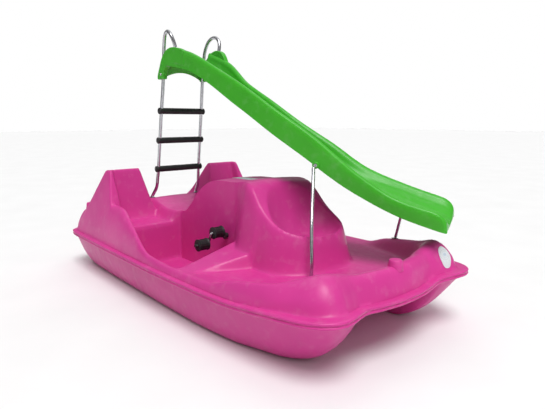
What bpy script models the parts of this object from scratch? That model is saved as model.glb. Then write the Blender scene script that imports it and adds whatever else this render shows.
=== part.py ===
"""Pedal boat with a slide: two moulded shells, pedal drive, rudder steering, ladder and chute.

Metres. +X is the bow, +Y port, +Z up. The origin is the middle of the keels' resting plane.
"""
import math

import bmesh
import bpy
import numpy as np
from mathutils import Matrix, Vector
from mathutils.bvhtree import BVHTree

# Hull and deck
HALF_BEAM = 0.885            # widest half-beam at the rim
STERN_X = -1.68
BOW_X = 1.70
STERN_CORNER_X = -1.64       # where the stern curve meets the sides
BOW_CORNER_X = 1.55
LIP = 0.032                  # width of the flat rim flange
BOW_LIP = 0.055              # the same at the bow
SKIN = 0.007                 # wall of both mouldings
RIM_STACK = 0.040            # from the deck flange's top to the hull flange's underside
GAP = 0.0005                 # between pieces that touch
JOINT_GAP = 0.0025           # glue line above and below the joint strip
SOLE = 0.38                  # bow floor
WELL_FLOOR = 0.17            # footwell floor
SEAT_BACK_TOP = 0.956
# Drive
CRANK_X = 0.154
CRANK_Z = 0.502
CRANK_RADIUS = 0.010
BORE_CLEARANCE = 0.0006
THROW = (0.016, 0.042)       # inner starboard pin from the crank axis, along x and z
PEDAL_INNER_Y = 0.345
PEDAL_OUTER_Y = 0.462
PEDAL_HALF = 0.045
PEDAL_RADIUS = 0.047
WHEEL_RADIUS = 0.355
WELL_RADIUS = 0.385
BLADES = 6
# Steering
LEVER_X = -0.58
RUDDER_X = -1.45
ROD_Z = 0.42
STEER_ARM = 0.06
# Slide and tubes
SLIDE_START = (-0.686, 0.0)
SLIDE_RUN = 2.317
SLIDE_HALF = 0.243
SLIDE_SKIN = 0.009
RAIL_RADIUS = 0.015
RUNG_RADIUS = 0.024
STRUT_RADIUS = 0.012

PINK = (0.72, 0.055, 0.30, 1.0)
GREEN = (0.08, 0.50, 0.03, 1.0)
STEEL = (0.62, 0.63, 0.65, 1.0)
BLACK = (0.012, 0.012, 0.014, 1.0)
WHITE = (0.75, 0.77, 0.80, 1.0)
FOAM = (0.85, 0.84, 0.78, 1.0)


def clear_scene():
    for thing in list(bpy.data.objects):
        bpy.data.objects.remove(thing, do_unlink=True)


def material(name, colour, roughness, metallic=0.0):
    made = bpy.data.materials.new(name)
    made.use_nodes = True
    shader = made.node_tree.nodes["Principled BSDF"]
    shader.inputs["Base Color"].default_value = colour
    shader.inputs["Roughness"].default_value = roughness
    shader.inputs["Metallic"].default_value = metallic
    return made


# ---------------------------------------------------------------- curves and height functions

def ramp(low, high, value):
    """Smooth step from 0 at low to 1 at high."""
    share = np.clip((value - low) / (high - low), 0.0, 1.0)
    return share * share * (3.0 - 2.0 * share)


def mix(first, second, share):
    return first + (second - first) * share


def smooth_max(first, second, blend):
    near = np.maximum(blend - np.abs(first - second), 0.0) / blend
    return np.maximum(first, second) + near * near * blend / 4.0


def smooth_min(first, second, blend):
    return -smooth_max(-first, -second, blend)


def profile(points, value):
    """A smooth curve through the design points that never overshoots them."""
    xs, zs = np.array(points, dtype=float).T
    value = np.clip(np.asarray(value, dtype=float), xs[0], xs[-1])
    slope = np.diff(zs) / np.diff(xs)
    before, after = slope[:-1], slope[1:]
    same_way = before * after > 0.0
    total = np.where(same_way, before + after, 1.0)
    inner = np.where(same_way, 2.0 * before * after / total, 0.0)
    tangent = np.concatenate([slope[:1], inner, slope[-1:]])
    cell = np.clip(np.searchsorted(xs, value, side="right") - 1, 0, len(xs) - 2)
    width = xs[cell + 1] - xs[cell]
    t = (value - xs[cell]) / width
    start = (2 * t - 3) * t * t + 1
    rise_in = ((t - 2) * t + 1) * t
    rise_out = (t - 1) * t * t
    return (start * zs[cell] + (1 - start) * zs[cell + 1]
            + width * (rise_in * tangent[cell] + rise_out * tangent[cell + 1]))


SIDE_LINE = [(-1.64, 0.80), (-1.58, 0.848), (-1.45, 0.868), (-0.80, 0.880), (0.0, HALF_BEAM),
             (0.53, 0.872), (0.93, 0.858), (1.23, 0.838), (1.45, 0.808), (1.56, 0.775),
             (1.64, 0.72), (BOW_X, 0.62)]
STERN_LINE = [(0.0, STERN_X), (0.60, STERN_X), (0.73, -1.672), (0.80, -1.64)]
BOW_LINE = [(0.0, 1.690), (0.12, 1.685), (0.24, 1.665), (0.37, 1.645), (0.46, 1.668),
            (0.54, 1.693), (0.60, BOW_X), (0.66, 1.688), (0.72, 1.643), (0.775, 1.555),
            (0.82, 1.43), (0.885, 0.0)]
RIM_LINE = [(STERN_X, 0.340), (0.5, 0.340), (1.2, 0.355), (1.68, 0.380)]


def rim_height(x, side):
    """The flange rises towards the two bow corners."""
    return profile(RIM_LINE, x) + 0.022 * ramp(0.25, 0.60, side) * ramp(0.9, 1.4, x)


def lip_width(x):
    return mix(LIP, BOW_LIP, ramp(1.05, 1.50, x))


def rim_inset(x, side):
    """Distance inboard of the outline."""
    beam = profile(SIDE_LINE, x) - side
    bow = profile(BOW_LINE, side) - x
    stern = x - profile(STERN_LINE, side)
    return smooth_min(smooth_min(beam, bow, 0.10), stern, 0.06)


# Coaming crest: its height along the boat, how far inboard it runs, and how wide it falls inward.
CREST_HEIGHT = [(-1.68, 0.46), (-1.60, 0.52), (-1.45, 0.565), (-1.22, 0.612), (-0.97, 0.64),
                (-0.81, 0.672),
                (-0.63, 0.668), (-0.35, 0.555), (-0.02, 0.405), (0.33, 0.388),
                (0.73, 0.392), (0.93, 0.45), (1.13, 0.485), (1.33, 0.512), (1.55, 0.532),
                (1.68, 0.530)]
CREST_INSET = [(-1.68, 0.15), (-1.22, 0.16), (-0.97, 0.155), (-0.81, 0.150), (-0.63, 0.135),
               (-0.02, 0.060), (0.73, 0.060), (1.03, 0.080), (1.23, 0.105), (1.43, 0.130),
               (1.68, 0.130)]
CREST_FALL = [(-1.68, 0.12), (-0.98, 0.07), (-0.85, 0.035), (0.33, 0.045), (0.60, 0.10),
              (1.03, 0.13), (1.50, 0.23)]
STERN_AND_SEAT = [(-1.68, 0.36), (-1.58, 0.41), (-1.45, 0.535), (-1.27, 0.61), (-1.05, 0.64),
                  (-0.93, 0.56), (-0.85, 0.512), (-0.58, 0.505)]
CONSOLE_TOP = [(-1.15, 0.64), (-1.00, 0.665), (-0.85, 0.625), (-0.70, 0.60), (-0.52, 0.60),
               (-0.40, 0.68), (-0.29, 0.79), (-0.15, 0.885), (-0.04, 0.922), (0.06, 0.932),
               (0.24, 0.936), (0.36, 0.955), (0.45, 0.962), (0.52, 0.945), (0.58, 0.895),
               (0.65, 0.815), (0.72, 0.750), (0.79, 0.705), (0.88, 0.672), (0.98, 0.645),
               (1.10, 0.600)]


def deck_floor(x, side):
    """Stern deck, seat pans, footwells, ridge and bow sole, without the raised shapes."""
    floor = profile(STERN_AND_SEAT, x)
    floor = mix(floor, WELL_FLOOR, ramp(-0.585, -0.535, x))
    ridge = mix(0.50, 0.392, np.clip((side - 0.30) / 0.45, 0.0, 1.0))
    floor = mix(floor, ridge, ramp(0.215, 0.345, x))
    edge = 0.66 - 0.42 * (side - 0.36)
    return mix(floor, SOLE, ramp(edge - 0.025, edge + 0.020, x))


def console(x, side):
    """Centre body: ridge between the seats, arch over the wheel, and the front seat."""
    nose = 0.73
    ahead = np.maximum(x - nose, 0.0) * 1.18
    reach = (ahead ** 2.3 + side ** 2.3) ** (1 / 2.3)
    beside_well = ramp(-0.62, -0.55, x) * (1.0 - ramp(0.23, 0.50, x))
    top_edge = mix(mix(0.26, 0.305, ramp(0.35, 0.65, x)), 0.222, beside_well)
    foot = mix(mix(0.34, 0.405, ramp(0.0, 0.6, x)), 0.256, beside_well)
    top = profile(CONSOLE_TOP, x)
    crown = 0.30 * (top - 0.45) * np.clip(side, 0.0, 0.3) ** 2
    base = deck_floor(x, side)
    ends = ramp(-1.15, -1.05, x)
    body = base + (top - crown - base) * (1.0 - ramp(top_edge, foot, reach)) * ends
    bowl_x = 0.86
    back = np.clip((bowl_x - x) / 0.33, 0.0, 1.6)
    front = np.clip((x - bowl_x) / 0.26, 0.0, 1.6)
    spread = np.sqrt(back ** 2 + front ** 2 + (side / 0.42) ** 2)
    bowl = 0.555 + 0.40 * np.clip(spread, 0.0, 1.6) ** 3
    return smooth_min(body, bowl, 0.018)


def seat_back(x, side):
    """Raised backrest with forward side wings."""
    cushion = SEAT_BACK_TOP - (x + 1.005) * 3.1
    wing = SEAT_BACK_TOP + 0.012 - (x + 0.955) * 2.3
    front = mix(cushion, wing, ramp(0.645, 0.680, side))
    rear = SEAT_BACK_TOP + (x + 1.05) * 1.25
    inner = SEAT_BACK_TOP - (0.392 - side) * 5.0
    outer = SEAT_BACK_TOP - (side - 0.700) * 4.6
    sides = smooth_min(inner, outer, 0.03)
    slopes = smooth_min(front, rear, 0.04)
    return smooth_min(smooth_min(sides, slopes, 0.045), SEAT_BACK_TOP, 0.03)


def deck_height(x, y):
    side = np.abs(y)
    inset = rim_inset(x, side)
    rim = rim_height(x, side)
    corner = ramp(0.30, 0.58, side) * ramp(1.12, 1.45, x)
    crest_in = profile(CREST_INSET, x) + 0.10 * corner
    lip = lip_width(x)
    climb = np.clip((inset - lip) / (crest_in - lip), 0.0, 1.0)
    crest = profile(CREST_HEIGHT, x) + 0.052 * corner
    outer = rim + (crest - rim) * (1.0 - (1.0 - climb) ** 2) * ramp(0, 0.2, climb)
    start = crest_in + 0.012
    inside = ramp(start, start + profile(CREST_FALL, x), inset)
    surface = mix(outer, console(x, side), inside)
    fillet = mix(0.11, 0.03, ramp(0.62, 0.70, side))
    surface = smooth_max(surface, seat_back(x, side), fillet)
    return np.where(inset < lip * 0.5, rim, surface)


BILGE_LINE = [(-1.60, 0.66), (-1.35, 0.735), (-0.70, 0.756), (0.42, 0.765), (0.69, 0.747),
              (0.88, 0.719), (1.05, 0.663), (1.19, 0.616), (1.32, 0.56), (1.66, 0.47)]
TUNNEL_LINE = [(-1.65, 0.26), (-0.85, 0.24), (-0.62, 0.18), (0.36, 0.18), (0.70, 0.26),
               (1.20, 0.355), (1.60, 0.37)]


def hull_height(x, y):
    """Underside of the lower moulding: two pontoons, the tunnel between them and the wheel well."""
    side = np.abs(y)
    top = rim_height(x, side) - RIM_STACK
    beam = profile(SIDE_LINE, x) - LIP
    bilge = profile(BILGE_LINE, x) - 0.055
    flare = np.clip((side - bilge) / np.maximum(beam - bilge, 0.02), 0.0, 1.0)
    outer = 1.0 - flare ** 2.2
    tunnel = profile(TUNNEL_LINE, x)
    inner = ramp(tunnel, tunnel + 0.075, side)
    stem = np.clip((x - 1.16) / (profile(BOW_LINE, side) - LIP - 1.16), 0.0, 1.0)
    transom = ramp(STERN_X + LIP, -1.50, x)
    depth = outer * inner * (1.0 - stem ** 2.6) * transom
    surface = top * (1.0 - depth)
    over_wheel = np.maximum(WELL_RADIUS ** 2 - (x - CRANK_X) ** 2, 0.0)
    arch = np.maximum(CRANK_Z + np.sqrt(over_wheel), top)
    arch = np.where(over_wheel > 0.0, arch, top)
    in_well = 1.0 - ramp(0.148, 0.175, side)
    return np.where(arch > top, mix(surface, arch, in_well), surface)


# ---------------------------------------------------------------- mesh helpers

def face_outward(mesh):
    grid = bmesh.new()
    grid.from_mesh(mesh)
    bmesh.ops.recalc_face_normals(grid, faces=grid.faces)
    grid.to_mesh(mesh)
    grid.free()


def new_object(name, mesh, finish, smooth=True, sharp=math.radians(35)):
    made = bpy.data.objects.new(name, mesh)
    bpy.context.scene.collection.objects.link(made)
    mesh.materials.append(finish)
    if smooth:
        mesh.shade_smooth()
        mesh.set_sharp_from_angle(angle=sharp)
    return made


def mesh_from(name, points, faces):
    mesh = bpy.data.meshes.new(name)
    mesh.from_pydata([tuple(point) for point in points], [], faces)
    mesh.update()
    return mesh


def outline_grid(along, across):
    """Grid lines that bend to the outline: x and y arrays, stern to bow by starboard to port."""
    share, reach = np.meshgrid(along, across, indexing="ij")
    x = mix(STERN_CORNER_X, BOW_CORNER_X, share)
    half = profile(SIDE_LINE, x)
    stern_side = np.abs(reach) * 0.80
    bow_side = np.abs(reach) * 0.768
    to_stern = profile(STERN_LINE, stern_side) - STERN_CORNER_X
    to_bow = profile(BOW_LINE, bow_side) - BOW_CORNER_X
    x = x + (1.0 - share) ** 8 * to_stern + share ** 8 * to_bow
    return x, reach * half


def height_skin(name, along, across, height, upward, finish):
    """A sheet over the outline grid; its face normals point up or down."""
    x, y = outline_grid(along, across)
    z = height(x, y)
    rows, columns = x.shape
    points = np.stack([x, y, z], axis=-1).reshape(-1, 3)
    faces = []
    for i in range(rows - 1):
        for j in range(columns - 1):
            a = i * columns + j
            quad = (a, a + columns, a + columns + 1, a + 1)
            faces.append(quad if upward else quad[::-1])
    made = new_object(name, mesh_from(name, points, faces), finish)
    return made


def thicken(target, thickness):
    solid = target.modifiers.new("wall", "SOLIDIFY")
    solid.thickness = thickness
    solid.offset = -1.0
    solid.use_even_offset = True


def cut(target, cutter):
    cutter.hide_render = True
    cutter.display_type = "WIRE"
    hole = target.modifiers.new("hole", "BOOLEAN")
    hole.operation = "DIFFERENCE"
    hole.object = cutter
    hole.solver = "EXACT"


def turned(name, outline, origin, direction, finish, segments=16):
    """Revolve (radius, height) points about direction; radius 0 closes an end at the axis."""
    axis = Vector(direction).normalized()
    place = Matrix.Translation(origin) @ axis.to_track_quat("Z", "Y").to_matrix().to_4x4()
    grid = bmesh.new()
    rings = []
    for radius, height in outline:
        if radius < 1e-9:
            rings.append([grid.verts.new(place @ Vector((0, 0, height)))])
            continue
        ring = []
        for k in range(segments):
            turn = 2 * math.pi * k / segments
            spot = Vector((radius * math.cos(turn), radius * math.sin(turn), height))
            ring.append(grid.verts.new(place @ spot))
        rings.append(ring)
    closed = len(rings[0]) > 1
    pairs = list(zip(rings, rings[1:] + rings[:1])) if closed else list(zip(rings, rings[1:]))
    for low, high in pairs:
        for k in range(segments):
            n = (k + 1) % segments
            if len(low) == 1:
                grid.faces.new((low[0], high[n], high[k]))
            elif len(high) == 1:
                grid.faces.new((low[k], low[n], high[0]))
            else:
                grid.faces.new((low[k], low[n], high[n], high[k]))
    bmesh.ops.recalc_face_normals(grid, faces=grid.faces)
    mesh = bpy.data.meshes.new(name)
    grid.to_mesh(mesh)
    grid.free()
    return new_object(name, mesh, finish)


def rod(name, start, end, radius, finish, segments=12):
    start, end = Vector(start), Vector(end)
    length = (end - start).length
    outline = [(0, 0), (radius, 0), (radius, length), (0, length)]
    return turned(name, outline, start, end - start, finish, segments)


def smooth_path(points, count):
    """Evenly spaced points on a smooth curve through the given ones."""
    points = np.array(points, dtype=float)
    steps = np.linalg.norm(np.diff(points, axis=0), axis=1)
    reach = np.concatenate([[0.0], np.cumsum(steps)])
    at = np.linspace(0.0, reach[-1], count)
    tangent = np.gradient(points, reach, axis=0)
    cell = np.clip(np.searchsorted(reach, at, side="right") - 1, 0, len(reach) - 2)
    width = (reach[cell + 1] - reach[cell])[:, None]
    t = ((at - reach[cell])[:, None]) / width
    start = (2 * t - 3) * t * t + 1
    return (start * points[cell] + (1 - start) * points[cell + 1]
            + width * (((t - 2) * t + 1) * t * tangent[cell] + (t - 1) * t * t * tangent[cell + 1]))


def swept(name, path, radius, finish, sides=8):
    """A round bar along a path, closed at both ends."""
    spots = [Vector(point) for point in path]
    grid = bmesh.new()
    rings = []
    across = None
    for i, spot in enumerate(spots):
        ahead = spots[min(i + 1, len(spots) - 1)] - spots[max(i - 1, 0)]
        ahead.normalize()
        if across is None:
            across = ahead.orthogonal().normalized()
        across = (across - ahead * across.dot(ahead)).normalized()
        other = ahead.cross(across)
        turns = [2 * math.pi * k / sides for k in range(sides)]
        rings.append([grid.verts.new(spot + (across * math.cos(t) + other * math.sin(t)) * radius)
                      for t in turns])
    for low, high in zip(rings, rings[1:]):
        for k in range(sides):
            n = (k + 1) % sides
            grid.faces.new((low[k], low[n], high[n], high[k]))
    grid.faces.new(rings[0][::-1])
    grid.faces.new(rings[-1])
    bmesh.ops.recalc_face_normals(grid, faces=grid.faces)
    mesh = bpy.data.meshes.new(name)
    grid.to_mesh(mesh)
    grid.free()
    return new_object(name, mesh, finish)


def slab(name, outline, thickness, place, finish):
    """Extrude a flat outline, in its own XY, by thickness along its own Z."""
    count = len(outline)
    points = [place @ Vector((x, y, z)) for z in (0.0, thickness) for x, y in outline]
    faces = [tuple(range(count))[::-1], tuple(range(count, 2 * count))]
    for k in range(count):
        n = (k + 1) % count
        faces.append((k, n, n + count, k + count))
    mesh = mesh_from(name, points, faces)
    face_outward(mesh)
    return new_object(name, mesh, finish, smooth=False)


def turn_about(name, spot, pieces):
    """An empty on a joint's axis that carries the pieces that move about it."""
    pivot = bpy.data.objects.new(name, None)
    pivot.location = spot
    bpy.context.scene.collection.objects.link(pivot)
    bpy.context.view_layer.update()
    for piece in pieces:
        piece.parent = pivot
        piece.matrix_parent_inverse = pivot.matrix_world.inverted()
    return pivot


# ---------------------------------------------------------------- the two mouldings

def stations(edges):
    """Grid stations as (start, end, cells) runs joined end to end."""
    values = [edges[0][0]]
    for start, end, cells in edges:
        values += [start + (end - start) * (k + 1) / cells for k in range(cells)]
    return np.array(values)


def along_share(runs):
    span = BOW_CORNER_X - STERN_CORNER_X
    return (stations(runs) - STERN_CORNER_X) / span


def mirrored(half):
    return np.concatenate([-half[:0:-1], half])


DECK_ALONG = [(-1.64, -1.612, 1), (-1.612, -1.10, 5), (-1.10, -0.82, 6), (-0.82, -0.60, 2),
              (-0.60, -0.53, 2), (-0.53, 0.20, 7), (0.20, 0.36, 3), (0.36, 0.54, 2),
              (0.54, 0.78, 5), (0.78, 1.12, 5), (1.12, 1.40, 3), (1.40, 1.522, 2),
              (1.522, 1.55, 1)]
DECK_ACROSS = [(0.0, 0.245, 2), (0.245, 0.296, 2), (0.296, 0.44, 3), (0.44, 0.72, 4),
               (0.72, 0.90, 5), (0.90, 0.962, 2), (0.962, 1.0, 1)]
HULL_ALONG = [(-1.64, -1.612, 1), (-1.612, -1.45, 3), (-1.45, -0.60, 5), (-0.60, -0.16, 4), (-0.16, 0.47, 10),
              (0.47, 1.10, 5), (1.10, 1.45, 6), (1.45, 1.522, 2),
              (1.522, 1.55, 1)]
HULL_ACROSS = [(0.0, 0.165, 1), (0.165, 0.202, 1), (0.202, 0.30, 2), (0.30, 0.52, 2),
               (0.52, 0.80, 2), (0.80, 0.962, 4), (0.962, 1.0, 1)]


def make_mouldings(looks):
    deck = height_skin("deck_shell", along_share(DECK_ALONG), mirrored(stations(DECK_ACROSS)),
                       deck_height, True, looks["pink"])
    hull = height_skin("hull_shell", along_share(HULL_ALONG), mirrored(stations(HULL_ACROSS)),
                       hull_height, False, looks["pink"])
    thicken(deck, SKIN)
    thicken(hull, SKIN)
    shaft_hole = rod("cutter_crank", (CRANK_X, -0.31, CRANK_Z), (CRANK_X, 0.31, CRANK_Z),
                     0.0215, looks["steel"], 16)
    lever_hole = rod("cutter_lever", (LEVER_X, 0, 0.50), (LEVER_X, 0, 0.72), 0.0172,
                     looks["steel"], 12)
    stock_hole = rod("cutter_rudder", (RUDDER_X, 0, 0.24), (RUDDER_X, 0, 0.345), 0.0172,
                     looks["steel"], 12)
    cut(deck, shaft_hole)
    cut(deck, lever_hole)
    cut(hull, shaft_hole)
    cut(hull, stock_hole)
    return deck, hull


def make_joint_strip(looks):
    """The bonding strip between the two flanges, set back to leave a groove."""
    along = along_share(DECK_ALONG)[::2]
    across = mirrored(stations(DECK_ACROSS))
    x, y = outline_grid(along, across)
    loop = [(x[i, 0], y[i, 0]) for i in range(len(along))]
    loop += [(x[-1, j], y[-1, j]) for j in range(1, len(across))]
    loop += [(x[i, -1], y[i, -1]) for i in range(len(along) - 2, -1, -1)]
    loop += [(x[0, j], y[0, j]) for j in range(len(across) - 2, 0, -1)]
    loop = np.array(loop)
    ahead = np.roll(loop, -1, axis=0) - np.roll(loop, 1, axis=0)
    ahead /= np.linalg.norm(ahead, axis=1)[:, None]
    inward = np.stack([-ahead[:, 1], ahead[:, 0]], axis=1)
    count = len(loop)
    points = []
    top, bottom = SKIN + JOINT_GAP, RIM_STACK - SKIN - JOINT_GAP
    for depth, drop in ((0.006, top), (0.006, bottom), (0.021, bottom), (0.021, top)):
        spots = loop + inward * depth
        base = rim_height(loop[:, 0], np.abs(loop[:, 1]))
        points += [(a, b, z - drop) for (a, b), z in zip(spots, base)]
    faces = []
    for ring in range(4):
        for k in range(count):
            n = (k + 1) % count
            low, high = ring * count, ((ring + 1) % 4) * count
            faces.append((low + k, high + k, high + n, low + n))
    mesh = mesh_from("rim_joint_strip", points, faces)
    face_outward(mesh)
    return new_object("rim_joint_strip", mesh, looks["pink"])


def surface_finder(target, toward=(0, 0, -1)):
    """Lookup of a point on a skin and its normal, seen along one direction."""
    mesh = target.data
    spots = [vertex.co.copy() for vertex in mesh.vertices]
    tree = BVHTree.FromPolygons(spots, [tuple(face.vertices) for face in mesh.polygons])

    def look(x, y, z=3.0):
        spot, normal, _, _ = tree.ray_cast(Vector((x, y, z)), Vector(toward))
        return spot, normal
    return look


def make_deck_fittings(looks, look):
    for name, x, y, radius, height in (("bow_cap", 1.55, 0.0, 0.044, 0.036),
                                       ("stern_cap_starboard", -1.44, -0.71, 0.037, 0.045),
                                       ("stern_cap_port", -1.44, 0.71, 0.037, 0.045)):
        spot = look(x, y)[0]
        lift = 0.020
        outline = [(0, lift), (radius, lift), (radius * 0.93, height * 0.8 + lift),
                   (radius * 0.80, height + lift), (0, height + lift)]
        turned(name, outline, spot, (0, 0, 1), looks["pink"])
    spot, normal = look(0.16, -0.03)
    oval = [(0.20 * math.cos(t), 0.045 * math.sin(t))
            for t in np.linspace(0, 2 * math.pi, 20, endpoint=False)]
    place = Matrix.Translation(spot + normal * 0.009)
    place = place @ normal.to_track_quat("Z", "X").to_matrix().to_4x4()
    lengthwise = place.to_3x3() @ Vector((1, 0, 0))
    if abs(lengthwise.y) > abs(lengthwise.x):
        place = place @ Matrix.Rotation(math.pi / 2, 4, "Z")
    slab("console_badge", oval, 0.0015, place, looks["white"])
    spot, normal = look(1.575, 0.535)
    turned("bow_badge", [(0, 0.016), (0.050, 0.016), (0.050, 0.0175), (0, 0.0175)], spot,
           normal, looks["white"], 24)


def make_inside_and_plugs(looks, hull):
    behind = surface_finder(hull, (1, 0, 0))
    for side, name in ((-1, "starboard"), (1, "port")):
        low = Matrix.Translation((0.62, side * 0.56, 0.05))
        block = [(0, -0.12), (0.42, -0.10), (0.42, 0.07), (0, 0.12)]
        block = [(a, b * side) for a, b in block][::side]
        slab("foam_block_" + name, block, 0.22, low, looks["foam"])
        spot, normal = behind(-3.0, side * 0.50, 0.16)
        plug = [(0, 0.002), (0.022, 0.002), (0.022, 0.007), (0.012, 0.010), (0, 0.010)]
        turned("drain_plug_" + name, plug, spot, normal, looks["black"])


# ---------------------------------------------------------------- pedal drive

def crank_path():
    """Centre line of the bent shaft, starboard tip to port tip, as (x, y, z)."""
    dx, dz = THROW
    inner_end = PEDAL_INNER_Y + PEDAL_HALF + 0.010
    outer_start = PEDAL_OUTER_Y - PEDAL_HALF - 0.010
    half = [(0, 0.280, 0), (1, 0.290, 0), (1, inner_end, 0), (-1, outer_start, 0),
            (-1, PEDAL_OUTER_Y + PEDAL_HALF + 0.014, 0)]
    star = [(CRANK_X + k * dx, -y, CRANK_Z + k * dz) for k, y, _ in half]
    port = [(CRANK_X - k * dx, y, CRANK_Z - k * dz) for k, y, _ in half]
    return star[::-1] + port


def rounded_path(points, radius, steps):
    """Corners replaced with small bends."""
    spots = [Vector(point) for point in points]
    path = [spots[0]]
    for before, corner, after in zip(spots, spots[1:], spots[2:]):
        back = (before - corner)
        front = (after - corner)
        cut_back = min(radius, back.length * 0.45)
        cut_front = min(radius, front.length * 0.45)
        start = corner + back.normalized() * cut_back
        end = corner + front.normalized() * cut_front
        for k in range(steps + 1):
            t = k / steps
            path.append(start * (1 - t) ** 2 + corner * 2 * t * (1 - t) + end * t * t)
    path.append(spots[-1])
    return path


def make_drive(looks):
    shaft = swept("crankshaft", rounded_path(crank_path(), 0.008, 3), CRANK_RADIUS,
                  looks["steel"], 12)
    wheel = []
    hub = [(CRANK_RADIUS + GAP, -0.11), (0.024, -0.11), (0.024, -0.06), (0.040, -0.055),
           (0.040, 0.055), (0.024, 0.06), (0.024, 0.11), (CRANK_RADIUS + GAP, 0.11)]
    wheel.append(turned("paddle_hub", hub, (CRANK_X, 0, CRANK_Z), (0, 1, 0), looks["steel"], 24))
    tee = [(0.0405, -0.045), (0.21, -0.045), (0.23, -0.125), (WHEEL_RADIUS, -0.125),
           (WHEEL_RADIUS, 0.125), (0.23, 0.125), (0.21, 0.045), (0.0405, 0.045)]
    for k in range(BLADES):
        turn = Matrix.Rotation(2 * math.pi * k / BLADES, 4, "Y")
        place = Matrix.Translation((CRANK_X, 0, CRANK_Z)) @ turn @ Matrix.Rotation(math.pi, 4, "X")
        wheel.append(slab("paddle_blade_%d" % (k + 1), tee, 0.006, place, looks["black"]))
    carried = []
    for side, name in ((-1, "starboard"), (1, "port")):
        bore = CRANK_RADIUS + BORE_CLEARANCE
        bush = [(bore, 0.160), (0.0205, 0.160), (0.0205, 0.262), (0.030, 0.262),
                (0.030, 0.267), (bore, 0.267)]
        turned("crank_bush_" + name, bush, (CRANK_X, 0, CRANK_Z), (0, side, 0), looks["black"])
        for place, reach, sign in (("inner", PEDAL_INNER_Y, 1), ("outer", PEDAL_OUTER_Y, -1)):
            sign *= -side
            spot = (CRANK_X + sign * THROW[0], side * reach, CRANK_Z + sign * THROW[1])
            spool = [(bore, -PEDAL_HALF), (PEDAL_RADIUS, -PEDAL_HALF),
                     (PEDAL_RADIUS, -PEDAL_HALF + 0.008), (PEDAL_RADIUS - 0.006, -PEDAL_HALF + 0.014),
                     (PEDAL_RADIUS - 0.006, PEDAL_HALF - 0.014), (PEDAL_RADIUS, PEDAL_HALF - 0.008),
                     (PEDAL_RADIUS, PEDAL_HALF), (bore, PEDAL_HALF)]
            pedal = turned("pedal_%s_%s" % (name, place), spool, spot, (0, 1, 0), looks["black"], 20)
            carried.append(turn_about("pin_%s_%s" % (name, place), spot, [pedal]))
        sign = side
        tip = (CRANK_X + sign * THROW[0], side * (PEDAL_OUTER_Y + PEDAL_HALF + 0.0145),
               CRANK_Z + sign * THROW[1])
        cap = [(0, 0), (0.014, 0), (0.014, 0.006), (0.010, 0.009), (0, 0.009)]
        carried.append(turned("pedal_cap_" + name, cap, tip, (0, side, 0), looks["black"], 12))
    turn_about("crank_axis", (CRANK_X, 0, CRANK_Z), [shaft] + wheel + carried)


# ---------------------------------------------------------------- steering

def make_steering(looks):
    bore = 0.0075
    stem_low = ROD_Z - 0.012
    lever = [(0, stem_low), (0.007, stem_low), (0.007, 0.668), (0, 0.668)]
    stem = turned("steering_stem", lever, (LEVER_X, 0, 0), (0, 0, 1), looks["steel"], 12)
    knob = [(0, 0.6685), (0.012, 0.6685), (0.020, 0.680), (0.022, 0.692), (0.016, 0.704), (0, 0.709)]
    grip = turned("steering_knob", knob, (LEVER_X, 0, 0), (0, 0, 1), looks["black"])
    pin_at = Matrix.Translation((LEVER_X, 0, ROD_Z - 0.018))
    arm_outline = [(-0.012, 0.0076), (-0.012, 0.070), (0.012, 0.070), (0.012, 0.0076)]
    arm = slab("steering_arm", arm_outline, 0.005, pin_at @ Matrix.Translation((0, 0, 0.008)),
               looks["steel"])
    turn_about("lever_axis", (LEVER_X, 0, 0.6), [stem, grip, arm])
    bush = [(bore, 0.560), (0.0160, 0.560), (0.0160, 0.606), (0.024, 0.606), (0.024, 0.611),
            (bore, 0.611)]
    turned("lever_bush", bush, (LEVER_X, 0, 0), (0, 0, 1), looks["black"])
    link = rod("steering_rod", (RUDDER_X, STEER_ARM, ROD_Z + 0.006),
               (LEVER_X, STEER_ARM, ROD_Z + 0.006), 0.005, looks["steel"], 8)
    turn_about("rod_slide", (0.5 * (RUDDER_X + LEVER_X), STEER_ARM, ROD_Z), [link])
    stock_top = ROD_Z - 0.005
    stock = [(0, 0.263), (0.007, 0.263), (0.007, stock_top), (0, stock_top)]
    post = turned("rudder_stock", stock, (RUDDER_X, 0, 0), (0, 0, 1), looks["steel"], 12)
    blade_outline = [(0.07, 0.262), (-0.19, 0.262), (-0.20, 0.10), (-0.15, 0.05), (0.03, 0.05),
                     (0.07, 0.10)]
    place = Matrix.Translation((RUDDER_X, 0.004, 0)) @ Matrix.Rotation(math.pi / 2, 4, "X")
    blade = slab("rudder_blade", blade_outline, 0.008, place, looks["black"])
    tiller_outline = [(-0.012, 0.0076), (-0.012, 0.070), (0.012, 0.070), (0.012, 0.0076)]
    tiller = slab("rudder_tiller", tiller_outline, 0.005,
                  Matrix.Translation((RUDDER_X, 0, ROD_Z - 0.010)), looks["steel"])
    turn_about("rudder_axis", (RUDDER_X, 0, 0.2), [post, blade, tiller])
    bush = [(bore, 0.275), (0.024, 0.275), (0.024, 0.2985), (0.0160, 0.2985), (0.0160, 0.330),
            (bore, 0.330)]
    turned("rudder_bush", bush, (RUDDER_X, 0, 0), (0, 0, 1), looks["black"])


# ---------------------------------------------------------------- ladder, slide and struts

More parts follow.
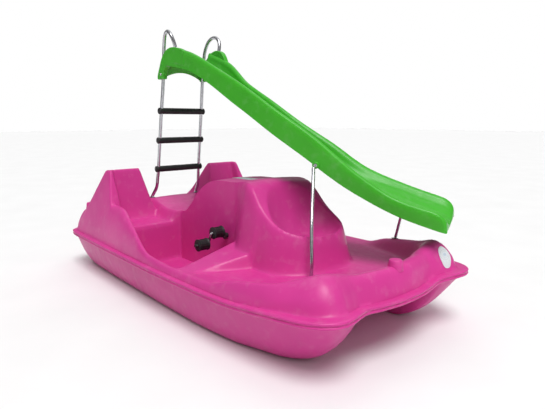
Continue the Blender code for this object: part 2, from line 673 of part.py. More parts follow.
# Along the chute's plan run, stern to bow: heading, top edge, wall and bank.
LEG_OUTLINE = [(-0.860, 1.757), (-0.762, 1.757), (-0.757, 1.790), (-0.740, 1.830),
               (-0.705, 1.855), (-0.666, 1.868), (-0.610, 1.872), (-0.600, 1.995),
               (-0.640, 2.000), (-0.686, 1.993), (-0.723, 1.980), (-0.783, 1.930),
               (-0.828, 1.856), (-0.860, 1.795)]
CHUTE_HEADING = [0, 1, 7, 13, 20, 26, 28, 25, 22]
CHUTE_TOP = [2.010, 1.930, 1.767, 1.610, 1.427, 1.245, 1.035, 0.895, 0.812]
CHUTE_WALL = [0.144, 0.156, 0.162, 0.190, 0.195, 0.195, 0.146, 0.110, 0.119]
CHUTE_BANK = [0, 8, 17, 16, 12, 6.5, 0, -6, -4]


def chute_frames(count):
    """Centre of the top edge, side and up vectors, and wall height along the chute."""
    knots = np.linspace(0.0, SLIDE_RUN, len(CHUTE_HEADING))
    run = np.linspace(0.0, SLIDE_RUN, count)
    heading = np.radians(profile(np.stack([knots, CHUTE_HEADING], 1), run))
    top = profile(np.stack([knots, CHUTE_TOP], 1), run)
    wall = profile(np.stack([knots, CHUTE_WALL], 1), run)
    bank = np.radians(profile(np.stack([knots, CHUTE_BANK], 1), run))
    step = run[1] - run[0]
    x = SLIDE_START[0] + np.concatenate([[0], np.cumsum(np.cos(heading[:-1]))]) * step
    y = SLIDE_START[1] + np.concatenate([[0], np.cumsum(np.sin(heading[:-1]))]) * step
    frames = []
    for k in range(count):
        side = Vector((-math.sin(heading[k]), math.cos(heading[k]), -math.tan(bank[k])))
        frames.append((Vector((x[k], y[k], top[k])), side, Vector((0, 0, 1)), wall[k]))
    return frames


def chute_section(wall, floor_lift):
    """Closed outline of the moulded skin: (across, up from the top edge), starboard to port."""
    roll, thick = 0.020, SLIDE_SKIN
    outer = [(-SLIDE_HALF, -wall), (-SLIDE_HALF, -0.014), (-SLIDE_HALF + 0.008, 0.0),
             (-SLIDE_HALF + 2 * roll - 0.008, 0.0), (-SLIDE_HALF + 2 * roll, -0.014),
             (-SLIDE_HALF + 2 * roll + 0.012, -wall + floor_lift + 0.030),
             (-SLIDE_HALF + 2 * roll + 0.045, -wall + floor_lift)]
    inner = [(-SLIDE_HALF + thick, -wall), (-SLIDE_HALF + thick, -0.018),
             (-SLIDE_HALF + 0.013, -thick), (-SLIDE_HALF + 2 * roll - 0.013, -thick),
             (-SLIDE_HALF + 2 * roll - thick, -0.018),
             (-SLIDE_HALF + 2 * roll + 0.004, -wall + floor_lift + 0.024),
             (-SLIDE_HALF + 2 * roll + 0.041, -wall + floor_lift - thick)]
    over = outer + [(-a, b) for a, b in outer[::-1]]
    under = inner + [(-a, b) for a, b in inner[::-1]]
    return over + under[::-1]


def make_slide(looks):
    frames = chute_frames(19)
    rings = []
    for centre, side, up, wall in frames:
        section = chute_section(wall, 0.035)
        rings.append([centre + side * a + up * b for a, b in section])
    count = len(rings[0])
    points = [spot for ring in rings for spot in ring]
    faces = []
    for i in range(len(rings) - 1):
        for k in range(count):
            n = (k + 1) % count
            a, b = i * count, (i + 1) * count
            faces.append((a + k, a + n, b + n, b + k))
    half = count // 2
    for ring, flip in ((0, False), (len(rings) - 1, True)):
        base = ring * count
        for k in range(half - 1):
            quad = (base + k, base + count - 1 - k, base + count - 2 - k, base + k + 1)
            faces.append(quad[::-1] if flip else quad)
    mesh = mesh_from("slide_chute", points, faces)
    face_outward(mesh)
    chute = new_object("slide_chute", mesh, looks["green"])
    for name, y in (("leg_starboard", -SLIDE_HALF + 0.0085), ("leg_port", SLIDE_HALF - 0.0005)):
        place = Matrix.Translation((0, y, 0)) @ Matrix.Rotation(math.pi / 2, 4, "X")
        leg = slab(name, LEG_OUTLINE, 0.008, place, looks["green"])
        leg.hide_render = True
        leg.display_type = "WIRE"
        join = chute.modifiers.new(name, "BOOLEAN")
        join.operation = "UNION"
        join.object = leg
        join.solver = "EXACT"


def rail_path(side, foot):
    """Rail from its foot up past the chute's rear, over the hoop and down to the side wall."""
    points = [foot, (-1.035, side * 0.242, 0.700), (-0.990, side * 0.232, 0.765),
              (-0.9720, side * 0.2275, 0.85), (-0.9635, side * 0.2246, 0.895), (-0.956, side * 0.2235, 0.94),
              (-0.911, side * 0.219, 1.21), (-0.867, side * 0.215, 1.48),
              (-0.828, side * 0.209, 1.72), (-0.797, side * 0.210, 1.93),
              (-0.765, side * 0.218, 2.06), (-0.715, side * 0.232, 2.130),
              (-0.655, side * 0.243, 2.147), (-0.600, side * 0.247, 2.115),
              (-0.572, side * 0.236, 2.055), (-0.566, side * 0.224, 2.0085)]
    return smooth_path(points, 34)


def make_ladder(looks, look):
    for side, name in ((-1, "starboard"), (1, "port")):
        spot, normal = look(-1.065, side * 0.250)
        foot = spot + Vector((0, 0, 0.026))
        swept("ladder_rail_" + name, rail_path(side, tuple(foot)), RAIL_RADIUS, looks["steel"])
        flange = [(0, 0.0015), (0.030, 0.0015), (0.030, 0.0055), (0, 0.0055)]
        turned("ladder_foot_" + name, flange, spot, normal, looks["steel"])
        bolt = [(0, 0), (0.009, 0), (0.009, 0.006), (0, 0.006)]
        turned("chute_bolt_" + name, bolt, (-0.80, side * (SLIDE_HALF + 0.0002), 1.80),
               (0, side, 0), looks["steel"], 12)
    for k, (x, z, half) in enumerate(((-0.956, 0.940, 0.249), (-0.911, 1.210, 0.245),
                                      (-0.867, 1.480, 0.242))):
        tread = [(0, -half), (RUNG_RADIUS, -half), (RUNG_RADIUS, half), (0, half)]
        rung = turned("ladder_rung_%d" % (k + 1), tread, (x, 0, z), (0, 1, 0),
                      looks["black"], 16)
        for side in (-1, 1):
            path = rail_path(side, (-1.07, side * 0.25, 0.66))
            near = min(range(2, len(path) - 2), key=lambda i: abs(path[i][2] - z))
            passage = rod("cutter_rung", path[near - 1], path[near + 1], RAIL_RADIUS + 0.0014,
                          looks["steel"], 16)
            cut(rung, passage)


def make_struts(looks, look):
    boss = (0.826, 0.030, 1.067)
    spot = look(1.074, -0.238)[0]
    low = spot + Vector((0, 0, 0.020))
    near = [low, spot + Vector((-0.002, 0.006, 0.09)), spot + Vector((-0.030, 0.030, 0.22)), boss]
    swept("slide_strut_starboard", smooth_path([tuple(p) for p in near], 16), STRUT_RADIUS,
          looks["steel"])
    plate = [(0, 0.001), (0.030, 0.001), (0.030, 0.0035), (0, 0.0035)]
    turned("strut_plate_starboard", plate, spot + Vector((0, 0, 0.015)), (0, 0, 1),
           looks["steel"], 20)
    spot, normal = look(1.025, 0.775)
    low = spot + Vector((0, 0, 0.025))
    far = [low, spot + Vector((0.021, 0.0, 0.09)), (1.078, 0.775, 0.690)]
    swept("slide_strut_port", smooth_path([tuple(p) for p in far], 6), STRUT_RADIUS,
          looks["steel"])
    turned("strut_plate_port", plate, spot + normal * 0.003, normal, looks["steel"], 20)


def main():
    clear_scene()
    looks = {
        "pink": material("moulded_pink", PINK, 0.35),
        "green": material("moulded_green", GREEN, 0.35),
        "steel": material("stainless_steel", STEEL, 0.22, 1.0),
        "black": material("black_plastic", BLACK, 0.45),
        "white": material("pale_badge", WHITE, 0.40),
        "foam": material("buoyancy_foam", FOAM, 0.90),
    }
    deck, hull = make_mouldings(looks)
    look = surface_finder(deck)
    make_joint_strip(looks)
    make_deck_fittings(looks, look)
    make_inside_and_plugs(looks, hull)
    make_drive(looks)
    make_steering(looks)
    make_slide(looks)
    make_ladder(looks, look)
    make_struts(looks, look)


main()
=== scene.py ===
"""Looks of the pedal boat with a slide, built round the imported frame. Metres, +X bow, +Y port, +Z up."""

import math

import bmesh
import bpy
import numpy as np
from mathutils import Matrix, Vector
from mathutils.bvhtree import BVHTree


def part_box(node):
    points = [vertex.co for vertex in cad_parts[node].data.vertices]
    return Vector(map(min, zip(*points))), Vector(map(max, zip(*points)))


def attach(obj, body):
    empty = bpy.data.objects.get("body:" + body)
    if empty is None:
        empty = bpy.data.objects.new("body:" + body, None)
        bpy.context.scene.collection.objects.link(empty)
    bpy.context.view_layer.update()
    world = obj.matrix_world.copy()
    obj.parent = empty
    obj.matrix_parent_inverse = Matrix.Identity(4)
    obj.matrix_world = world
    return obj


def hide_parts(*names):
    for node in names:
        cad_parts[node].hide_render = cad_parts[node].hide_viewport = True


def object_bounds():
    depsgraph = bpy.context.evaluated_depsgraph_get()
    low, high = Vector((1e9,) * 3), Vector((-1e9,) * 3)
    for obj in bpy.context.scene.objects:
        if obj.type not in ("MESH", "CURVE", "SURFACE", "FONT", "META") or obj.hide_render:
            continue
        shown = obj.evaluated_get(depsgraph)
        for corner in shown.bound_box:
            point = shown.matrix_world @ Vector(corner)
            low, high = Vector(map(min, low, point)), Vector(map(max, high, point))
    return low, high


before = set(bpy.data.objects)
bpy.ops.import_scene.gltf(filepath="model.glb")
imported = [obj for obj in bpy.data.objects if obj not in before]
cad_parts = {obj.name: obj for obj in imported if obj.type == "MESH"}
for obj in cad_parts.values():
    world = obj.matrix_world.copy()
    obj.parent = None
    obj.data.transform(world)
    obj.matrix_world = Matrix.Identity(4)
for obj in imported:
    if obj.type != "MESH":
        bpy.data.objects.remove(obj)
cad_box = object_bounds()

# Hull and deck
HALF_BEAM = 0.885            # widest half-beam at the rim
STERN_X = -1.68
BOW_X = 1.70
STERN_CORNER_X = -1.64       # where the stern curve meets the sides
BOW_CORNER_X = 1.55
LIP = 0.032                  # width of the flat rim flange
BOW_LIP = 0.055              # the same at the bow
RIM_STACK = 0.040            # from the deck flange's top to the hull flange's underside
SOLE = 0.38                  # bow floor
WELL_FLOOR = 0.17            # footwell floor
SEAT_BACK_TOP = 0.956
# Drive
CRANK_X = 0.154
CRANK_Z = 0.502
WELL_RADIUS = 0.385          # of the arch over the paddle wheel
BLADES = 6
# Slide and tubes
SLIDE_START = (-0.686, 0.0)
SLIDE_RUN = 2.317            # along the plan, from the top step to the nose
SLIDE_HALF = 0.243           # half the chute's width
SLIDE_SKIN = 0.009           # its wall
HOOD_HALF = 0.222            # half the width of the hood between the arched legs
CHEEK_WIDTH = 0.042
RAIL_RADIUS = 0.015
STRUT_RADIUS = 0.012
RUNGS = ((-0.956, 0.940, 0.249), (-0.911, 1.210, 0.245), (-0.867, 1.480, 0.242))  # x, z, half length
RUNG_EDGE = 0.0290           # radius of a rung's end collars
STRUT_BOSS_AT = (0.836, 0.038, 1.086)
STRUT_BOSS_AXIS = Vector((0.454, -0.891, 0.0))
STRUT_TOP_STARBOARD = (0.826, 0.030, 1.067)
STRUT_TOP_PORT = (1.078, 0.775, 0.700)  # short of the chute, as in the CAD
# Studio
CAMERA_AT = (3.1295, -2.3977, 1.400)
CAMERA_DOWN = 10.11          # degrees below level
CAMERA_TURN = 48.44          # degrees from looking along +Y, towards -X
CAMERA_LENS = 31.36          # mm, on a sensor 36 mm wide
FLOOR_HALF = 60.0

UP = Vector((0, 0, 1))


# ---------------------------------------------------------------- curves and height functions

def ramp(low, high, value):
    """Smooth step from 0 at low to 1 at high."""
    share = np.clip((value - low) / (high - low), 0.0, 1.0)
    return share * share * (3.0 - 2.0 * share)


def mix(first, second, share):
    return first + (second - first) * share


def smooth_max(first, second, blend):
    near = np.maximum(blend - np.abs(first - second), 0.0) / blend
    return np.maximum(first, second) + near * near * blend / 4.0


def smooth_min(first, second, blend):
    return -smooth_max(-first, -second, blend)


def profile(points, value):
    """A smooth curve through the design points that never overshoots them."""
    xs, zs = np.array(points, dtype=float).T
    value = np.clip(np.asarray(value, dtype=float), xs[0], xs[-1])
    slope = np.diff(zs) / np.diff(xs)
    before, after = slope[:-1], slope[1:]
    same_way = before * after > 0.0
    total = np.where(same_way, before + after, 1.0)
    inner = np.where(same_way, 2.0 * before * after / total, 0.0)
    tangent = np.concatenate([slope[:1], inner, slope[-1:]])
    cell = np.clip(np.searchsorted(xs, value, side="right") - 1, 0, len(xs) - 2)
    width = xs[cell + 1] - xs[cell]
    t = (value - xs[cell]) / width
    start = (2 * t - 3) * t * t + 1
    rise_in = ((t - 2) * t + 1) * t
    rise_out = (t - 1) * t * t
    return (start * zs[cell] + (1 - start) * zs[cell + 1]
            + width * (rise_in * tangent[cell] + rise_out * tangent[cell + 1]))


SIDE_LINE = [(-1.64, 0.80), (-1.58, 0.848), (-1.45, 0.868), (-0.80, 0.880), (0.0, HALF_BEAM),
             (0.53, 0.872), (0.93, 0.858), (1.23, 0.838), (1.45, 0.808), (1.56, 0.775),
             (1.64, 0.72), (BOW_X, 0.62)]
STERN_LINE = [(0.0, STERN_X), (0.60, STERN_X), (0.73, -1.672), (0.80, -1.64)]
BOW_LINE = [(0.0, 1.690), (0.12, 1.685), (0.24, 1.665), (0.37, 1.645), (0.46, 1.668),
            (0.54, 1.693), (0.60, BOW_X), (0.66, 1.688), (0.72, 1.643), (0.775, 1.555),
            (0.82, 1.43), (0.885, 0.0)]
RIM_LINE = [(STERN_X, 0.340), (0.5, 0.340), (1.2, 0.355), (1.68, 0.380)]


def rim_height(x, side):
    """The flange rises towards the two bow corners."""
    return profile(RIM_LINE, x) + 0.022 * ramp(0.25, 0.60, side) * ramp(0.9, 1.4, x)


def lip_width(x):
    return mix(LIP, BOW_LIP, ramp(1.05, 1.50, x))


def rim_inset(x, side):
    """Distance inboard of the outline."""
    beam = profile(SIDE_LINE, x) - side
    bow = profile(BOW_LINE, side) - x
    stern = x - profile(STERN_LINE, side)
    return smooth_min(smooth_min(beam, bow, 0.10), stern, 0.06)


# Coaming crest: its height along the boat, how far inboard it runs, and how wide it falls inward.
CREST_HEIGHT = [(-1.68, 0.46), (-1.60, 0.52), (-1.45, 0.565), (-1.22, 0.612), (-0.97, 0.64),
                (-0.81, 0.672), (-0.63, 0.668), (-0.35, 0.555), (-0.02, 0.405), (0.33, 0.388),
                (0.73, 0.392), (0.93, 0.45), (1.13, 0.485), (1.33, 0.512), (1.55, 0.532),
                (1.68, 0.530)]
CREST_INSET = [(-1.68, 0.15), (-1.22, 0.16), (-0.97, 0.155), (-0.81, 0.150), (-0.63, 0.135),
               (-0.02, 0.060), (0.73, 0.060), (1.03, 0.080), (1.23, 0.105), (1.43, 0.130),
               (1.68, 0.130)]
CREST_FALL = [(-1.68, 0.12), (-0.98, 0.07), (-0.85, 0.035), (0.33, 0.045), (0.60, 0.10),
              (1.03, 0.13), (1.50, 0.23)]
STERN_AND_SEAT = [(-1.68, 0.36), (-1.58, 0.41), (-1.45, 0.535), (-1.27, 0.61), (-1.05, 0.64),
                  (-0.93, 0.56), (-0.85, 0.512), (-0.58, 0.505)]
CONSOLE_TOP = [(-1.15, 0.64), (-1.00, 0.665), (-0.85, 0.625), (-0.70, 0.60), (-0.52, 0.60),
               (-0.40, 0.68), (-0.29, 0.79), (-0.15, 0.885), (-0.04, 0.922), (0.06, 0.932),
               (0.24, 0.936), (0.36, 0.955), (0.45, 0.962), (0.52, 0.945), (0.58, 0.895),
               (0.65, 0.815), (0.72, 0.750), (0.79, 0.705), (0.88, 0.672), (0.98, 0.645),
               (1.10, 0.600)]


def deck_floor(x, side):
    """Stern deck, seat pans, footwells, ridge and bow sole, without the raised shapes."""
    floor = profile(STERN_AND_SEAT, x)
    floor = mix(floor, WELL_FLOOR, ramp(-0.585, -0.535, x))
    ridge = mix(0.50, 0.392, np.clip((side - 0.30) / 0.45, 0.0, 1.0))
    floor = mix(floor, ridge, ramp(0.215, 0.345, x))
    edge = 0.66 - 0.42 * (side - 0.36)
    return mix(floor, SOLE, ramp(edge - 0.025, edge + 0.020, x))


def console(x, side):
    """Centre body: ridge between the seats, arch over the wheel, and the front seat."""
    nose = 0.73
    ahead = np.maximum(x - nose, 0.0) * 1.18
    reach = (ahead ** 2.3 + side ** 2.3) ** (1 / 2.3)
    beside_well = ramp(-0.62, -0.55, x) * (1.0 - ramp(0.23, 0.50, x))
    top_edge = mix(mix(0.26, 0.305, ramp(0.35, 0.65, x)), 0.222, beside_well)
    foot = mix(mix(0.34, 0.405, ramp(0.0, 0.6, x)), 0.256, beside_well)
    top = profile(CONSOLE_TOP, x)
    crown = 0.30 * (top - 0.45) * np.clip(side, 0.0, 0.3) ** 2
    base = deck_floor(x, side)
    ends = ramp(-1.15, -1.05, x)
    body = base + (top - crown - base) * (1.0 - ramp(top_edge, foot, reach)) * ends
    bowl_x = 0.86
    back = np.clip((bowl_x - x) / 0.33, 0.0, 1.6)
    front = np.clip((x - bowl_x) / 0.26, 0.0, 1.6)
    away = np.sqrt(back ** 2 + front ** 2 + (side / 0.42) ** 2)
    bowl = 0.555 + 0.40 * np.clip(away, 0.0, 1.6) ** 3
    return smooth_min(body, bowl, 0.018)


def seat_back(x, side):
    """Raised backrest with forward side wings."""
    cushion = SEAT_BACK_TOP - (x + 1.005) * 3.1
    wing = SEAT_BACK_TOP + 0.012 - (x + 0.955) * 2.3
    front = mix(cushion, wing, ramp(0.645, 0.680, side))
    rear = SEAT_BACK_TOP + (x + 1.05) * 1.25
    inner = SEAT_BACK_TOP - (0.392 - side) * 5.0
    outer = SEAT_BACK_TOP - (side - 0.700) * 4.6
    sides = smooth_min(inner, outer, 0.03)
    slopes = smooth_min(front, rear, 0.04)
    return smooth_min(smooth_min(sides, slopes, 0.045), SEAT_BACK_TOP, 0.03)


def deck_height(x, y):
    side = np.abs(y)
    inset = rim_inset(x, side)
    rim = rim_height(x, side)
    corner = ramp(0.30, 0.58, side) * ramp(1.22, 1.50, x)
    crest_in = profile(CREST_INSET, x) + 0.10 * corner
    lip = lip_width(x)
    climb = np.clip((inset - lip) / (crest_in - lip), 0.0, 1.0)
    crest = profile(CREST_HEIGHT, x) + 0.052 * corner
    outer = rim + (crest - rim) * (1.0 - (1.0 - climb) ** 2) * ramp(0, 0.2, climb)
    start = crest_in + 0.012
    inside = ramp(start, start + profile(CREST_FALL, x), inset)
    surface = mix(outer, console(x, side), inside)
    fillet = mix(0.11, 0.03, ramp(0.62, 0.70, side))
    surface = smooth_max(surface, seat_back(x, side), fillet)
    return np.where(inset < lip * 0.5, rim, surface)


BILGE_LINE = [(-1.60, 0.66), (-1.35, 0.735), (-0.70, 0.756), (0.42, 0.765), (0.69, 0.747),
              (0.88, 0.719), (1.05, 0.663), (1.19, 0.616), (1.32, 0.56), (1.66, 0.47)]
TUNNEL_LINE = [(-1.65, 0.26), (-0.85, 0.24), (-0.62, 0.18), (0.36, 0.18), (0.70, 0.26),
               (1.20, 0.355), (1.60, 0.37)]


def hull_height(x, y):
    """Underside of the lower moulding: two pontoons, the tunnel between them and the wheel well."""
    side = np.abs(y)
    top = rim_height(x, side) - RIM_STACK
    beam = profile(SIDE_LINE, x) - LIP
    bilge = profile(BILGE_LINE, x) - 0.055
    flare = np.clip((side - bilge) / np.maximum(beam - bilge, 0.02), 0.0, 1.0)
    outer = 1.0 - flare ** 2.2
    tunnel = profile(TUNNEL_LINE, x)
    inner = ramp(tunnel, tunnel + 0.075, side)
    stem = np.clip((x - 1.16) / (profile(BOW_LINE, side) - LIP - 1.16), 0.0, 1.0)
    transom = ramp(STERN_X + LIP, -1.50, x)
    depth = outer * inner * (1.0 - stem ** 2.6) * transom
    surface = top * (1.0 - depth)
    over_wheel = np.maximum(WELL_RADIUS ** 2 - (x - CRANK_X) ** 2, 0.0)
    arch = np.maximum(CRANK_Z + np.sqrt(over_wheel), top)
    arch = np.where(over_wheel > 0.0, arch, top)
    in_well = 1.0 - ramp(0.148, 0.175, side)
    return np.where(arch > top, mix(surface, arch, in_well), surface)


def outline_grid(along, across):
    """Grid lines that bend to the outline: x and y arrays, stern to bow by starboard to port."""
    share, reach = np.meshgrid(along, across, indexing="ij")
    x = mix(STERN_CORNER_X, BOW_CORNER_X, share)
    half = profile(SIDE_LINE, x)
    stern_side = np.abs(reach) * 0.80
    bow_side = np.abs(reach) * 0.768
    to_stern = profile(STERN_LINE, stern_side) - STERN_CORNER_X
    to_bow = profile(BOW_LINE, bow_side) - BOW_CORNER_X
    x = x + (1.0 - share) ** 8 * to_stern + share ** 8 * to_bow
    return x, reach * half


def stations(edges):
    """Grid stations as (start, end, cells) runs joined end to end."""
    values = [edges[0][0]]
    for start, end, cells in edges:
        values += [start + (end - start) * (k + 1) / cells for k in range(cells)]
    return np.array(values)


def along_share(runs):
    span = BOW_CORNER_X - STERN_CORNER_X
    return (stations(runs) - STERN_CORNER_X) / span


def mirrored(half):
    return np.concatenate([-half[:0:-1], half])


def smooth_path(points, count):
    """Evenly spaced points on a smooth curve through the given ones."""
    points = np.array(points, dtype=float)
    steps = np.linalg.norm(np.diff(points, axis=0), axis=1)
    reach = np.concatenate([[0.0], np.cumsum(steps)])
    at = np.linspace(0.0, reach[-1], count)
    tangent = np.gradient(points, reach, axis=0)
    cell = np.clip(np.searchsorted(reach, at, side="right") - 1, 0, len(reach) - 2)
    width = (reach[cell + 1] - reach[cell])[:, None]
    t = ((at - reach[cell])[:, None]) / width
    start = (2 * t - 3) * t * t + 1
    return (start * points[cell] + (1 - start) * points[cell + 1]
            + width * (((t - 2) * t + 1) * t * tangent[cell] + (t - 1) * t * t * tangent[cell + 1]))


# Along the chute's plan run, stern to bow: heading, top edge, wall and bank.
CHUTE_HEADING = [0, 1, 7, 13, 20, 26, 28, 25, 22]
CHUTE_TOP = [2.010, 1.930, 1.767, 1.610, 1.427, 1.245, 1.035, 0.895, 0.812]
CHUTE_WALL = [0.144, 0.156, 0.162, 0.190, 0.195, 0.195, 0.146, 0.110, 0.119]
CHUTE_BANK = [0, 8, 17, 16, 12, 6.5, 0, -6, -4]


def chute_frames(count):
    """Centre of the top edge, side and up vectors, and wall height along the chute."""
    knots = np.linspace(0.0, SLIDE_RUN, len(CHUTE_HEADING))
    run = np.linspace(0.0, SLIDE_RUN, count)
    heading = np.radians(profile(np.stack([knots, CHUTE_HEADING], 1), run))
    top = profile(np.stack([knots, CHUTE_TOP], 1), run)
    wall = profile(np.stack([knots, CHUTE_WALL], 1), run)
    bank = np.radians(profile(np.stack([knots, CHUTE_BANK], 1), run))
    step = run[1] - run[0]
    x = SLIDE_START[0] + np.concatenate([[0], np.cumsum(np.cos(heading[:-1]))]) * step
    y = SLIDE_START[1] + np.concatenate([[0], np.cumsum(np.sin(heading[:-1]))]) * step
    frames = []
    for k in range(count):
        side = Vector((-math.sin(heading[k]), math.cos(heading[k]), -math.tan(bank[k])))
        frames.append((Vector((x[k], y[k], top[k])), side, Vector((0, 0, 1)), wall[k]))
    return frames


def rail_path(side, foot):
    """Rail from its foot up past the chute's rear, over the hoop and down to the side wall."""
    points = [foot, (-1.035, side * 0.242, 0.700), (-0.990, side * 0.232, 0.765),
              (-0.9720, side * 0.2275, 0.85), (-0.9635, side * 0.2246, 0.895),
              (-0.956, side * 0.2235, 0.94), (-0.911, side * 0.219, 1.21), (-0.867, side * 0.215, 1.48),
              (-0.828, side * 0.209, 1.72), (-0.797, side * 0.210, 1.93),
              (-0.765, side * 0.218, 2.06), (-0.715, side * 0.232, 2.130),
              (-0.655, side * 0.243, 2.147), (-0.600, side * 0.247, 2.115),
              (-0.572, side * 0.236, 2.055), (-0.566, side * 0.224, 2.0085)]
    return smooth_path(points, 34)


# ---------------------------------------------------------------- materials

def node_of(tree, kind, **values):
    made = tree.nodes.new(kind)
    for key, value in values.items():
        setattr(made, key, value)
    return made


def noise(tree, coords, scale, detail=3.0, stretch=(1, 1, 1)):
    mapping = node_of(tree, "ShaderNodeMapping")
    mapping.inputs["Scale"].default_value = stretch
    tree.links.new(coords, mapping.inputs["Vector"])
    made = node_of(tree, "ShaderNodeTexNoise")
    made.inputs["Scale"].default_value = scale
    made.inputs["Detail"].default_value = detail
    tree.links.new(mapping.outputs["Vector"], made.inputs["Vector"])
    return made.outputs["Fac"]


def spread(tree, value, low, high, start=0.3, end=0.7):
    made = node_of(tree, "ShaderNodeMapRange")
    for key, number in (("From Min", start), ("From Max", end), ("To Min", low), ("To Max", high)):
        made.inputs[key].default_value = number
    tree.links.new(value, made.inputs["Value"])
    return made.outputs["Result"]


def blend_colour(tree, factor, first, second):
    made = node_of(tree, "ShaderNodeMix", data_type="RGBA")
    for socket, value in ((made.inputs[6], first), (made.inputs[7], second)):
        if isinstance(value, tuple):
            socket.default_value = value
        else:
            tree.links.new(value, socket)
    tree.links.new(factor, made.inputs[0])
    return made.outputs[2]


def bumped(tree, height, strength, distance, before=None):
    made = node_of(tree, "ShaderNodeBump")
    made.inputs["Strength"].default_value = strength
    made.inputs["Distance"].default_value = distance
    tree.links.new(height, made.inputs["Height"])
    if before is not None:
        tree.links.new(before, made.inputs["Normal"])
    return made.outputs["Normal"]


def start_material(name):
    made = bpy.data.materials.new(name)
    made.use_nodes = True
    tree = made.node_tree
    shader = tree.nodes["Principled BSDF"]
    coords = node_of(tree, "ShaderNodeTexCoord").outputs["Object"]
    return made, tree, shader, coords


def shade(colour, factor):
    return tuple(min(1.0, c * factor) for c in colour[:3]) + (1.0,)


def moulded(name, colour, pale, peel=0.10, rough=(0.30, 0.42)):
    """Rotomoulded plastic: cloudy colour, faint orange peel, patches rubbed a little paler, fine scuffs.
    """
    made, tree, shader, coords = start_material(name)
    cloud = noise(tree, coords, 2.2, 4.0)
    body = blend_colour(tree, spread(tree, cloud, 0.0, 1.0), shade(colour, 0.94), shade(colour, 1.05))
    rubbed = spread(tree, noise(tree, coords, 5.5, 7.0), 0.0, 0.16, 0.50, 0.72)
    body = blend_colour(tree, rubbed, body, pale)
    dust = spread(tree, noise(tree, coords, 14.0, 8.0), 0.0, 0.07, 0.55, 0.80)
    body = blend_colour(tree, dust, body, (0.80, 0.78, 0.76, 1.0))
    tree.links.new(body, shader.inputs["Base Color"])
    scuffs = noise(tree, coords, 22.0, 6.0, (1.0, 1.0, 0.35))
    tree.links.new(spread(tree, scuffs, rough[0], rough[1]), shader.inputs["Roughness"])
    peeled = bumped(tree, noise(tree, coords, 90.0, 2.0), peel, 0.0012)
    fine = bumped(tree, noise(tree, coords, 620.0, 2.0), 0.10, 0.0003, peeled)
    tree.links.new(fine, shader.inputs["Normal"])
    shader.inputs["Specular IOR Level"].default_value = 0.28
    shader.inputs["Coat Weight"].default_value = 0.05
    shader.inputs["Coat Roughness"].default_value = 0.35
    shader.inputs["Subsurface Weight"].default_value = 0.04
    shader.inputs["Subsurface Radius"].default_value = (0.02, 0.006, 0.012)
    shader.inputs["Subsurface Scale"].default_value = 0.4
    return made


def brushed(name, colour, rough=(0.13, 0.26), stretch=(1, 1, 0.04)):
    """Polished tube or bright bolt with fine draw marks and faint water stains."""
    made, tree, shader, coords = start_material(name)
    marks = noise(tree, coords, 700.0, 2.0, stretch)
    stain = noise(tree, coords, 26.0, 5.0)
    stained = spread(tree, stain, 0.0, 1.0, 0.45, 0.72)
    tint = blend_colour(tree, stained, colour, shade(colour, 0.82))
    tree.links.new(tint, shader.inputs["Base Color"])
    both = blend_colour(tree, spread(tree, stain, 0.25, 0.6), marks, stain)
    tree.links.new(spread(tree, both, rough[0], rough[1]), shader.inputs["Roughness"])
    tree.links.new(bumped(tree, marks, 0.12, 0.0002), shader.inputs["Normal"])
    shader.inputs["Metallic"].default_value = 1.0
    return made


def black_part(name, colour, rough):
    """Moulded black plastic or rubber: fine leather grain, greyed where it is rubbed."""
    made, tree, shader, coords = start_material(name)
    cells = node_of(tree, "ShaderNodeTexVoronoi")
    cells.inputs["Scale"].default_value = 420.0
    tree.links.new(coords, cells.inputs["Vector"])
    wear = spread(tree, noise(tree, coords, 40.0, 6.0), 0.0, 0.35, 0.5, 0.75)
    edges = node_of(tree, "ShaderNodeNewGeometry").outputs["Pointiness"]
    rubbed = spread(tree, edges, 0.0, 0.5, 0.52, 0.62)
    body = blend_colour(tree, wear, colour, (0.024, 0.024, 0.025, 1.0))
    body = blend_colour(tree, rubbed, body, (0.034, 0.034, 0.036, 1.0))
    tree.links.new(body, shader.inputs["Base Color"])
    tree.links.new(spread(tree, noise(tree, coords, 60.0, 4.0), rough[0], rough[1]),
                   shader.inputs["Roughness"])
    grain = bumped(tree, cells.outputs["Distance"], 0.18, 0.0006)
    tree.links.new(grain, shader.inputs["Normal"])
    return made


